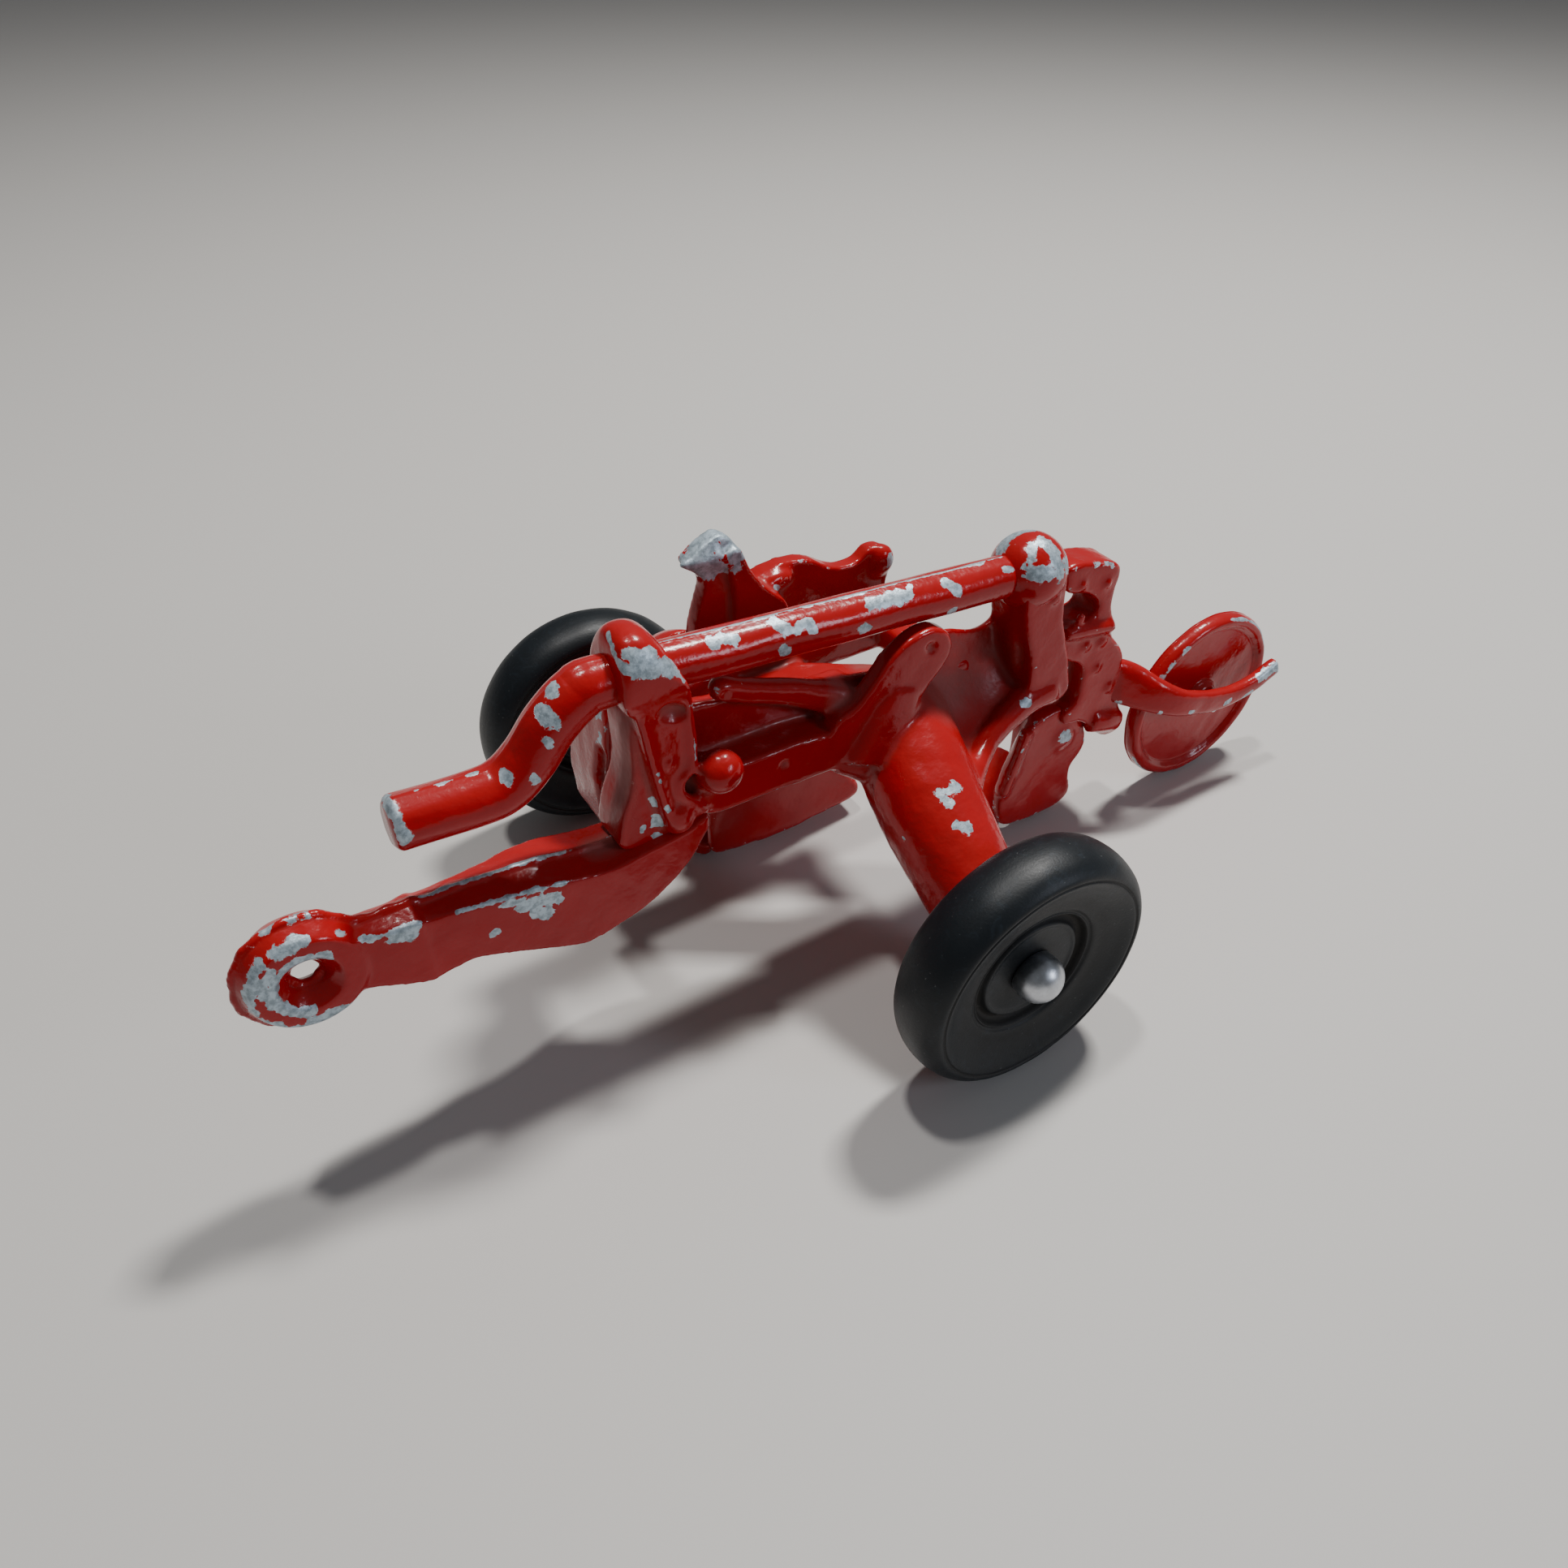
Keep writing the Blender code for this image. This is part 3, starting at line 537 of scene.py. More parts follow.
def rubber_material():
    """Black moulded rubber gone slightly blue and grey, with brown dust in its grooves."""
    material, tree, shader = new_material("black_rubber")
    vector = millimetres(tree)
    dust = use(tree, DUST, Vector=vector, Dusty=field(tree, "dusty"), Veil=0.05)
    cloud = noise(tree, vector, 0.25, 4.0, 0.6)
    grit = noise(tree, vector, 3.5, 4.0, 0.6)
    black = mixed(tree, cloud, DARK_RUBBER, PALE_RUBBER)
    speck = between(tree, noise(tree, vector, 2.1, 3.0, 0.6), 0.68, 0.74)
    scuff = between(tree, noise(tree, vector, 0.42, 5.0, 0.68, 1.2), 0.52, 0.78)
    black = mixed(tree, maths(tree, "MULTIPLY", scuff, 0.55), black, SCUFFED_RUBBER)
    black = mixed(tree, maths(tree, "MULTIPLY", speck, 0.4), black, GREY_SPECK)
    colour = mixed(tree, maths(tree, "MULTIPLY", dust["Amount"], 0.5), black, BROWN_DUST)
    tree.links.new(colour, shader.inputs["Base Color"])
    rough = maths(tree, "MULTIPLY_ADD", grit, 0.16, 0.36)
    rough = maths(tree, "MULTIPLY_ADD", dust["Amount"], 0.25, rough)
    tree.links.new(rough, shader.inputs["Roughness"])
    shader.inputs["Specular IOR Level"].default_value = 0.3
    bump = node(tree, "Bump", inputs={"Height": grit, "Strength": 0.25, "Distance": 0.00008})
    tree.links.new(bump.outputs[0], shader.inputs["Normal"])
    return material


def pin_material():
    """Satin steel, cloudy and finely pitted."""
    material, tree, shader = new_material("axle_pin_steel")
    vector = millimetres(tree)
    cloud = noise(tree, vector, 0.9, 5.0, 0.65)
    tint = between(tree, cloud, 0.35, 0.75)
    steel = mixed(tree, tint, (0.50, 0.52, 0.55, 1), (0.68, 0.71, 0.75, 1))
    tree.links.new(steel, shader.inputs["Base Color"])
    tree.links.new(maths(tree, "MULTIPLY_ADD", cloud, 0.22, 0.26), shader.inputs["Roughness"])
    shader.inputs["Metallic"].default_value = 1.0
    pits = noise(tree, vector, 3.0, 4.0, 0.6)
    bump = node(tree, "Bump", inputs={"Height": pits, "Strength": 0.12, "Distance": 0.00005})
    tree.links.new(bump.outputs[0], shader.inputs["Normal"])
    return material


ENAMEL = enamel_material()
RUBBER = rubber_material()
PIN_STEEL = pin_material()


# ---------------------------------------------------------------- land side casting

def sheet_between(upper, lower, thickness, sag):
    """A closed sheet between two curves: straight lines across, pressed in by sag times 4v(1-v),
    with its wall carried away from the land side by thickness."""
    upper = smooth_path(upper, 24)
    lower = smooth_path(lower, 24)
    v = np.linspace(0.0, 1.0, 14)[:, None, None]
    face = upper[None] * (1.0 - v) + lower[None] * v
    slope = np.cross(lower - upper, np.gradient(upper, axis=0))
    slope /= np.linalg.norm(slope, axis=1)[:, None]
    slope *= np.sign(slope[:, 1:2] + 1e-9)
    face = face - slope[None] * sag * 4.0 * v * (1.0 - v)
    back = face - slope[None] * thickness
    return skin(np.concatenate([face, back[::-1]], axis=0).transpose(1, 0, 2))


def faceted_bar(rows, bevel):
    """A bar along X between smoothly joined stations of x, bottom, top, near Y and far Y.  Its
    section has six corners: top and bottom fall away from the parting plane by the bevel."""
    rows = even_path(rows, 0.5)
    x, bottom, top, near, far = rows.T
    nothing = np.zeros_like(x)
    corners = [(nothing, top), (near, top - bevel), (near, bottom + 0.6), (nothing, bottom),
               (far, bottom + 0.6), (far, top - bevel)]
    return skin(np.stack([np.stack([x, y, z], axis=1) for y, z in corners], axis=1))


DRAWBAR = [(64.8, 23.4, 31.8, 2.0, -2.0), (62.0, 22.6, 31.4, 2.1, -2.1), (59.4, 21.7, 31.2, 2.5, -2.3),
           (57.2, 21.2, 31.3, 2.7, -2.5), (56.2, 21.2, 30.9, 2.5, -2.5), (52.8, 21.9, 30.8, 2.8, -2.8),
           (49.0, 20.9, 30.5, 3.1, -3.5), (44.6, 19.3, 30.2, 3.3, -4.5), (40.7, 18.1, 29.5, 3.5, -4.8),
           (36.6, 18.9, 28.9, 3.6, -4.6), (32.4, 20.4, 29.4, 3.6, -3.7), (28.0, 23.6, 30.0, 3.6, -3.4),
           (24.8, 27.6, 31.0, 3.5, -3.3)]
EYE_RING = [(1.7, -0.5), (1.7, 0.5), (2.2, 1.3), (3.2, 2.3), (3.4, 2.45), (5.2, 2.4), (5.6, 2.25),
            (6.5, 0.6), (6.85, 0.0), (6.5, -0.6), (5.6, -2.25), (5.2, -2.4), (3.4, -2.45), (3.2, -2.3),
            (2.2, -1.3)]
EYE = (68.4, 0.0, 27.7)
CLAMP_POWER = 2.6


def domed_clamp(outline, half, level):
    """A block whose side outline keeps its full height on the parting plane and falls to level
    at both side faces: at s of the half width, its height above level is times
    (1 - |s|^p)^(1/p).  Below level it narrows by up to a fifth."""
    outline = cut_corners(outline, 0.25, 3)
    s = np.sin(np.linspace(-np.pi / 2.0, np.pi / 2.0, 25))
    arch = np.maximum(1.0 - np.abs(s) ** CLAMP_POWER, 0.0) ** (1.0 / CLAMP_POWER)
    above = np.maximum(outline[:, 1] - level, 0.0)
    z = np.minimum(outline[:, 1], level)[None] + above[None] * arch[:, None]
    x = np.broadcast_to(outline[:, 0], z.shape)
    narrower = 1.0 - 0.2 * np.clip((level - z) / 3.4, 0.0, 1.0)
    return skin(np.stack([x, half * s[:, None] * narrower, z], axis=-1))


def land_casting_shapes():
    """Front post and clamp, lower beam, hub and axle arm, levers, pan, rib and rear post."""
    shapes = []
    # front post, its strap with raised lips, and the boss at the strap's foot
    post = [(25.0, 28.0), (35.6, 28.0), (34.6, 33.0), (32.8, 37.0), (32.8, 46.0), (26.4, 46.0),
            (26.0, 37.6), (27.0, 36.4), (27.2, 34.4), (25.8, 33.0)]
    strap = [(25.8, 31.6), (27.0, 28.8), (29.6, 28.8), (30.6, 33.9), (31.4, 38.7), (32.4, 47.0),
             (26.4, 47.0), (26.2, 37.9), (27.6, 36.6), (27.7, 34.2), (26.2, 33.0)]
    shapes += [plate(post, 2.4, -3.6), plate(strap, 3.5, 0.5)]
    front_lip = [(32.4, 3.2, 48.6, 0.6, 0.6), (31.5, 3.3, 43.6, 0.6, 0.6),
                 (30.8, 3.4, 38.7, 0.55, 0.55),
                 (29.9, 3.4, 33.9, 0.6, 0.6), (29.4, 3.4, 30.6, 0.6, 0.6)]
    rear_lip = [(26.6, 3.4, 46.8, 0.6, 0.6), (26.4, 3.5, 41.0, 0.6, 0.6),
                (26.6, 3.6, 37.8, 0.6, 0.6), (27.9, 3.6, 36.3, 0.55, 0.55),
                (27.9, 3.6, 34.4, 0.55, 0.55), (26.4, 3.6, 32.8, 0.6, 0.6),
                (25.4, 3.5, 31.0, 0.6, 0.6)]
    shapes += [bar(front_lip), bar(rear_lip), ball((28.2, 3.6, 31.2), (1.5, 0.9, 1.9)),
               ball((29.2, 3.5, 39.0), (0.55, 0.55, 0.7))]
    clamp = [(33.9, 46.4), (33.7, 51.6), (33.0, 54.4), (30.6, 54.9), (28.8, 53.6), (27.2, 50.6),
             (26.2, 47.6), (26.0, 45.6), (29.5, 45.0)]
    shapes.append(domed_clamp(clamp, 4.3, 48.4))
    # lower beam, the knob between it and the post, and the plate behind the finger lever
    beam = [(26.5, 29.4), (26.5, 35.2), (12.0, 35.3), (4.0, 33.4), (2.0, 30.4), (4.8, 28.7),
            (12.0, 29.3)]
    knob_neck = [(23.6, 3.6, 36.0, 2.1, 2.1), (24.6, 1.6, 35.2, 2.0, 2.0),
                 (25.6, 0.4, 34.6, 2.0, 2.0)]
    behind = [(27.0, 33.0), (27.0, 42.2), (20.0, 41.2), (9.0, 39.0), (3.0, 38.6), (3.0, 33.0)]
    shapes += [plate(beam, 3.4, -3.0), bar(knob_neck), ball((23.6, 4.1, 36.2), (2.7, 2.5, 2.6)),
               plate(behind, -0.9, -3.0)]
    # hub and land axle arm on one sloping line, widening where they meet the beam and the pan
    arm = [(-4.0, -5.0, 31.2, 5.9, 5.9), (-3.2, 0.0, 28.6, 6.7, 6.6), (-2.6, 4.5, 26.2, 6.7, 6.7),
           (-1.7, 9.0, 23.9, 6.5, 6.5), (-1.2, 13.4, 21.6, 6.25, 6.25), (-0.6, 19.0, 18.7, 5.75, 5.75),
           (-0.1, 23.2, 16.7, 5.3, 5.3), (0.0, 25.9, 16.1, 4.6, 4.6)]
    to_beam = [(1.5, 0.4, 31.4, 4.4, 4.6), (5.6, 0.4, 31.8, 3.0, 3.3), (10.5, 0.3, 32.3, 2.4, 2.6)]
    shapes += [bar(arm, side=FORWARD), bar(to_beam)]
    # lift lever and finger lever, both growing out of the hub
    lift = [(-2.6, 30.0), (-2.6, 33.8), (-5.3, 36.8), (-7.5, 39.2), (-7.9, 41.2), (-7.0, 43.2),
            (-4.8, 44.3), (-1.9, 44.0), (1.2, 42.0), (3.2, 39.4), (5.2, 37.2), (8.4, 36.2),
            (9.0, 33.0), (5.0, 30.0)]
    lift_root = [(1.4, 2.4, 29.0, 3.8, 6.8), (0.4, 2.4, 33.4, 2.8, 4.6), (-1.4, 2.5, 37.4, 1.8, 3.2)]
    fillet = [(0.0, 2.4, 28.0, 3.6, 4.6), (5.0, 1.6, 30.6, 2.8, 4.0), (9.4, 0.9, 32.4, 2.2, 2.6)]
    shapes += [plate(lift, 3.7, 1.2), bar(lift_root, power=2.2), bar(fillet)]
    finger = [(3.0, 0.4, 34.2, 2.2, 2.8), (7.0, -0.1, 37.0, 1.6, 2.0), (12.0, -0.3, 39.5, 1.4, 1.6),
              (17.0, -0.3, 41.6, 1.35, 1.4), (20.8, -0.2, 43.4, 1.3, 1.35)]
    shapes += [bar(finger, power=2.8), ball((20.9, -0.2, 43.4), (1.5, 1.35, 1.4))]
    upper = [(-1.2, 1.0, 38.2), (2.0, 0.2, 38.6), (5.5, -0.6, 38.8), (9.5, -1.0, 39.6)]
    lower = [(-1.0, 2.6, 33.0), (1.4, 2.8, 33.2), (4.2, 2.2, 33.8), (8.6, 1.2, 36.2)]
    shapes.append(sheet_between(upper, lower, 2.2, 1.3))
    # dished pan between the hub and the rear post, and the rib that edges it
    upper = [(-1.0, -1.2, 38.8), (-6.0, -1.8, 39.3), (-11.5, -1.8, 39.2), (-16.6, -1.8, 37.6),
             (-20.6, -1.6, 39.2)]
    lower = [(-3.4, 6.0, 29.0), (-7.6, 7.6, 26.6), (-12.0, 6.8, 25.8), (-17.0, 4.4, 26.8),
             (-21.6, 2.6, 28.4)]
    shapes.append(sheet_between(upper, lower, 1.8, 2.0))
    rib = [(-25.8, 2.2, 28.2, 1.9, 2.5), (-22.0, 2.6, 27.8, 1.9, 2.2), (-18.2, 3.6, 27.0, 1.8, 1.9),
           (-14.5, 5.0, 26.5, 1.65, 1.65), (-10.9, 7.0, 25.8, 1.6, 1.6), (-7.4, 9.4, 24.6, 1.9, 1.9),
           (-4.4, 12.0, 22.9, 2.3, 2.3)]
    shapes.append(bar(rib, side=(0.0, 0.8, 0.6)))
    # rear post: a deep flank with a raised strap on its near side, up to the ball
    flank = [(-17.8, 44.6), (-18.6, 40.6), (-19.0, 37.4), (-19.6, 34.0), (-20.8, 30.0), (-22.0, 27.4),
             (-26.6, 26.4), (-27.6, 31.0), (-25.0, 39.4), (-24.9, 44.6)]
    rear_strap = [(-18.2, 46.0), (-18.8, 40.0), (-20.8, 34.0), (-21.0, 30.6), (-20.6, 26.6),
                  (-26.0, 25.4), (-28.5, 26.6), (-28.4, 28.6), (-27.5, 32.0), (-25.0, 39.6),
                  (-25.0, 46.0)]
    shapes += [plate(flank, 1.6, -2.9), plate(rear_strap, 3.7, 0.4),
               ball((-22.8, 3.6, 42.6), (0.9, 0.8, 0.9))]
    return shapes


# ---------------------------------------------------------------- furrow side casting

def frame_bar(start, end, half_width, half_height, side):
    """A straight bar of squarish section."""
    size = (half_width, half_height)
    return bar([(*start, *size), (*end, *size)], side=side, power=4.0)


def furrow_casting_shapes():
    """Far beam, cross plate, braces, broken lever and its web, hub and axle arm."""
    shapes = [frame_bar((32.0, -16.2, 32.4), (-15.2, -16.2, 32.4), 2.7, 2.7, ACROSS),
              frame_bar((10.5, -14.6, 31.2), (-4.0, -4.6, 31.2), 3.6, 2.2, FORWARD),
              frame_bar((-12.4, -15.0, 32.2), (-12.4, -0.6, 32.2), 2.5, 2.1, FORWARD)]
    slab = [(29.4, 24.4), (33.6, 24.2), (34.0, 31.0), (33.4, 38.0), (32.8, 42.6), (29.6, 42.2)]
    slab_top = [(31.1, -4.4, 42.0, 1.6, 2.4), (31.1, -8.0, 42.6, 1.6, 2.2),
                (31.1, -12.2, 41.8, 1.6, 2.2)]
    shapes += [plate(slab, -3.3, -13.4), bar(slab_top, side=FORWARD, power=2.6)]
    # broken lever: a T of a plate and a rib, ending in the broken face
    lever = [(17.0, 33.0), (16.4, 41.0), (15.6, 43.6), (14.6, 46.2), (14.8, 47.8), (17.2, 49.8),
             (15.6, 51.2), (12.6, 52.8), (10.6, 51.6), (9.8, 48.9), (8.6, 46.4), (7.4, 44.0),
             (6.0, 33.0)]
    rib = [(11.0, 33.0), (11.2, 46.0), (12.4, 50.6), (10.2, 51.0), (9.2, 48.0), (6.6, 44.2),
           (3.6, 41.8), (2.6, 33.0)]
    web = [(10.4, 33.0), (9.4, 41.0), (6.6, 44.4), (2.4, 45.0), (-1.4, 44.4), (-5.4, 41.8),
           (-8.8, 41.6), (-10.8, 43.4), (-13.0, 42.8), (-14.4, 40.4), (-13.6, 38.4), (-13.0, 33.0)]
    snag = [(12.6, -15.2, 50.0, 1.6, 2.2), (15.2, -14.9, 50.0, 1.2, 1.0),
            (17.4, -14.8, 50.0, 0.5, 0.4)]
    shapes += [plate(lever, -14.4, -16.8), plate(rib, -13.4, -17.0), plate(web, -17.0, -19.2),
               bar(snag), ball((-12.4, -17.4, 40.9), (2.0, 1.6, 2.2)),
               ball((4.0, -16.6, 43.2), (2.6, 1.2, 1.3))]
    # hub and furrow axle arm
    arm = [(14.8, -19.6, 32.4, 5.0, 5.0), (15.4, -22.4, 30.6, 5.4, 5.4),
           (16.6, -26.3, 26.2, 5.4, 5.4), (18.6, -28.9, 22.0, 5.2, 5.2),
           (20.2, -31.2, 18.4, 4.9, 4.9), (20.9, -33.6, 16.4, 4.4, 4.4),
           (21.0, -35.8, 16.0, 4.0, 4.0)]
    standard = [(13.0, 30.4), (-4.0, 30.4), (-5.0, 24.0), (-1.0, 18.6), (11.8, 18.4), (13.4, 22.8)]
    shapes += [bar(arm, side=FORWARD), plate(standard, -15.4, -19.4)]
    return shapes


SHARE = [(-22.6, -3.4, 2.4, 2.0, 1.2), (-27.5, -8.0, 3.0, 3.2, 2.2), (-33.4, -13.0, 3.2, 2.6, 2.0)]
MOULDBOARD_WALL = (1.7, 0.6, 0.0)


def bottom_shapes(landside, step):
    """Landside, share and mouldboard, moved by step in X and Y.  The mouldboard's face, with u
    from front to back and v upwards, falls back by 12 u + 2 v, curls over by 9.4 u^1.15 + 3 v^2 u
    and rises by v (23.2 + u - 6 u^2)."""
    side = np.asarray(landside, float)
    behind = np.stack([np.minimum(side[:, 0], step[0] - 27.5), side[:, 1]], axis=1)
    share = [(x + step[0], y + step[1], z, w, h) for x, y, z, w, h in SHARE]
    u = np.linspace(0.0, 1.0, 30)[:, None]
    v = np.linspace(0.0, 1.0, 24)[None, :]
    x = -26.8 - 12.0 * u - 2.0 * v + step[0]
    y = -4.4 - 9.4 * u ** 1.15 - 3.0 * v * v * u + step[1]
    z = 3.0 + 0.4 * u + v * (23.2 + 1.0 * u - 6.0 * u * u)
    front = np.stack([x, y, z], axis=-1)
    back = front - np.array(MOULDBOARD_WALL)
    return [plate(side, step[1] - 0.4, step[1] - 2.2), plate(behind, step[1] - 1.4, step[1] - 4.8),
            bar(share, side=(1.0, 0.6, 0.0), power=3.0),
            skin(np.concatenate([front, back[:, ::-1]], axis=1))]


REAR_LANDSIDE = [(-23.4, 3.2), (-25.2, 1.6), (-34.0, 0.9), (-37.6, 2.8), (-35.9, 7.6), (-39.0, 11.2),
                 (-36.4, 18.4), (-32.4, 20.2), (-26.6, 19.0), (-22.8, 9.2)]
FRONT_LANDSIDE = [(14.4, 9.2), (14.4, 3.4), (13.2, 2.2), (2.8, 1.2), (-5.0, 2.0), (-10.2, 2.4),
                  (-11.0, 4.4), (-7.6, 9.4), (-2.6, 12.6), (0.6, 19.6), (5.6, 19.9), (11.6, 19.6)]
FRONT_STEP = (38.0, -16.2)


def rear_standard_shapes():
    """Tall block with a notch right through it, ledges, small bumps and a foot lug."""
    block = [(-27.7, 44.0), (-36.4, 42.0), (-38.0, 40.4), (-37.4, 37.6), (-37.3, 35.1),
             (-38.4, 32.3), (-38.3, 30.4), (-41.0, 27.4), (-41.9, 25.6), (-42.0, 23.4),
             (-42.6, 18.0), (-43.8, 15.0), (-43.2, 12.0), (-40.6, 12.2), (-36.0, 17.0),
             (-32.2, 17.4), (-32.0, 19.8), (-34.2, 20.8), (-34.4, 26.4), (-32.2, 28.0),
             (-29.5, 29.4), (-29.0, 34.2), (-34.6, 34.4), (-34.9, 36.4), (-32.6, 38.4),
             (-28.4, 39.4)]
    to_post = [(-24.6, 28.4), (-24.6, 33.2), (-30.5, 33.6), (-30.5, 28.8)]
    front_web = [(-25.2, 26.4), (-25.6, 30.4), (-31.0, 30.6), (-33.0, 18.6), (-29.5, 17.6)]
    back_web = [(-32.2, 27.6), (-28.0, 30.0), (-28.0, 18.0), (-36.2, 18.0), (-36.2, 25.0)]
    ledge = [(-29.2, 0.5, 33.5, 0.9, 0.9), (-33.5, 0.6, 32.9, 0.9, 1.0), (-38.0, 0.4, 31.9, 0.9, 0.9)]
    lug = [(-37.6, 0.0, 16.2, 1.5, 1.8), (-40.6, 0.2, 15.4, 1.6, 1.9), (-43.2, 0.0, 14.2, 1.4, 1.8)]
    bumps = [(-33.6, 30.3, 0.8), (-36.4, 30.0, 0.8), (-30.8, 40.2, 0.7), (-35.3, 39.2, 0.7),
             (-36.5, 25.8, 0.7), (-39.6, 21.6, 0.9), (-31.6, 35.2, 0.9)]
    return ([plate(block, 0.5, -4.7), plate(to_post, 0.0, -4.2), plate(front_web, -2.2, -4.6),
             bar(ledge), plate(back_web, -2.4, -4.7)]
            + [ball((x, 0.5, z), (size, 0.6, size)) for x, z, size in bumps] + [bar(lug)])


REAR_ARM = [(-37.0, -1.4, 22.2, 1.3, 2.6), (-41.0, -1.0, 21.6, 1.3, 3.1), (-43.6, 0.8, 20.6, 1.3, 3.1),
            (-46.4, 3.0, 19.1, 1.3, 2.6), (-50.1, 4.6, 17.4, 1.15, 2.1), (-54.5, 4.9, 15.9, 1.0, 1.85),
            (-58.6, 4.9, 14.9, 1.0, 1.75), (-62.5, 4.9, 14.6, 1.0, 1.5), (-66.6, 4.9, 15.3, 1.0, 1.35),
            (-70.4, 4.9, 16.7, 0.95, 1.35)]


# ---------------------------------------------------------------- crank, wheels and pins

CRANK_BEND = [(34.2, 0.0, 49.25), (36.9, 0.0, 48.75), (39.9, 0.0, 46.5), (42.6, 0.0, 43.3),
              (45.4, 0.0, 41.2), (48.8, 0.0, 40.75), (57.2, 0.0, 41.3)]


def crank_surface():
    """A round bar along the rod, the S bend and the handle.  Its radius grows a little past the
    bearing, falls in to a rounded rim at the handle's end with eight faint flats before it, and
    has the mould's raised line along the top."""
    back = ROD_BACK + ROD_ALONG * 4.2
    way = np.vstack([back, back + ROD_ALONG * 20.0, back + ROD_ALONG * 38.0, CRANK_BEND])
    path = even_path(way, 0.3)
    run = np.concatenate([[0.0], np.cumsum(np.linalg.norm(np.diff(path, axis=0), axis=1))])
    left = run[-1] - run
    radius = np.interp(path[:, 0], [30.0, 38.0, 44.0], [2.6, 2.85, 2.88])
    radius = radius - 0.75 * np.clip(1.0 - left / 0.9, 0.0, 1.0) ** 2.4
    along = np.gradient(path, axis=0)
    along /= np.linalg.norm(along, axis=1)[:, None]
    up = np.cross(along, -ACROSS)
    up *= np.sign(up[:, 2:3])
    angle = np.linspace(0.0, 2.0 * np.pi, 64, endpoint=False)
    at_end = np.clip(1.0 - left / 9.0, 0.0, 1.0)[:, None]
    facet = 1.0 - 0.018 * at_end * (1.0 - np.cos(8.0 * angle))[None]
    line = 0.13 * np.exp(-((np.sin(angle / 2.0) / 0.045) ** 2))
    wobble = 0.05 * np.sin(run / 2.3 + 1.0)[:, None] * np.sin(2.0 * angle + 0.7)[None]
    size = radius[:, None] * facet + line[None] * np.clip(left, 0.0, 1.0)[:, None] + wobble
    rings = (path[:, None] + up[:, None] * (size * np.cos(angle))[..., None]
             + ACROSS * (size * np.sin(angle))[..., None])
    return skin(rings)


# Where the paint has chipped: rows of marks for reach(), lying on the surface.
ROD_CHIPS = [(22.6, 1.2, 50.7, 22.2, 1.4, 50.5, 0.9), (20.8, 1.4, 50.3, 20.0, 1.6, 50.1, 0.9),
             (14.7, 0.9, 50.1, 13.7, 2.0, 49.3, 0.95), (12.4, 2.0, 49.2, 12.1, 2.0, 49.3, 0.7),
             (11.1, 1.7, 49.3, 10.9, 2.2, 48.8, 0.85), (2.8, 1.6, 48.9, 1.2, 1.9, 48.6, 1.0),
             (0.6, 1.7, 48.6, -1.9, 1.6, 48.4, 1.1), (-2.4, 1.0, 48.7, -2.9, 0.8, 48.8, 0.5),
             (-7.7, 1.4, 48.2, -8.8, 2.2, 47.3, 0.95), (4.5, 2.6, 46.9, 4.2, 2.6, 46.6, 0.9),
             (14.6, 2.6, 47.5, 14.3, 2.6, 47.2, 0.8), (-8.2, 2.2, 44.6, -8.2, 2.4, 45.0, 0.7),
             (39.2, 0.2, 50.8, 39.5, 0.7, 50.2, 0.8), (40.9, 1.3, 49.0, 40.5, 2.3, 48.1, 1.0),
             (41.3, 2.7, 46.4, 41.3, 2.8, 46.1, 0.7), (45.9, 1.7, 43.9, 45.8, 2.2, 43.2, 0.8),
             (43.4, 2.9, 42.9, 43.1, 2.9, 42.6, 0.75), (45.1, -1.9, 44.9, 44.2, -1.9, 45.8, 0.5),
             (57.0, -1.6, 43.7, 56.8, 0.2, 44.2, 0.9), (56.8, 0.6, 44.1, 56.6, 2.2, 43.3, 1.0),
             (56.7, 2.4, 43.0, 56.6, 2.9, 41.2, 1.0), (53.9, 0.0, 44.3, 53.5, 0.0, 44.3, 0.4),
             (51.9, 0.0, 44.1, 50.6, 0.0, 44.0, 0.42), (48.8, 0.0, 43.9, 48.0, 0.0, 43.9, 0.5),
             (16.4, 0.0, 50.6, 15.0, 0.0, 50.5, 0.35), (10.6, 0.0, 50.1, 9.6, 0.0, 50.0, 0.38),
             (6.6, 0.0, 49.8, 2.8, 0.0, 49.5, 0.36), (-12.0, 0.0, 48.3, -14.0, 0.0, 48.1, 0.38),
             (-16.2, 1.6, 47.4, -17.2, 1.8, 47.2, 0.5), (30.0, 0.0, 51.6, -17.0, 0.0, 48.0, 0.2)]
BALL_CHIPS = [(-18.6, -2.0, 48.2, -20.7, -2.0, 49.2, 1.5), (-20.7, -2.0, 49.2, -22.4, -1.2, 49.5, 1.0),
              (-20.0, 1.4, 49.2, -19.6, 2.2, 48.5, 0.9), (-21.7, 1.4, 49.5, -22.2, 2.6, 48.9, 1.1),
              (-22.3, 3.4, 48.2, -22.3, 4.4, 46.4, 1.2), (-18.5, 3.1, 47.0, -20.8, 4.3, 46.6, 1.15),
              (-23.0, -2.4, 48.8, -25.0, -1.0, 48.0, 1.6), (-25.4, 1.4, 46.4, -25.8, 0.0, 44.6, 1.5),
              (-24.2, 3.4, 46.6, -25.4, 2.2, 45.4, 1.3)]
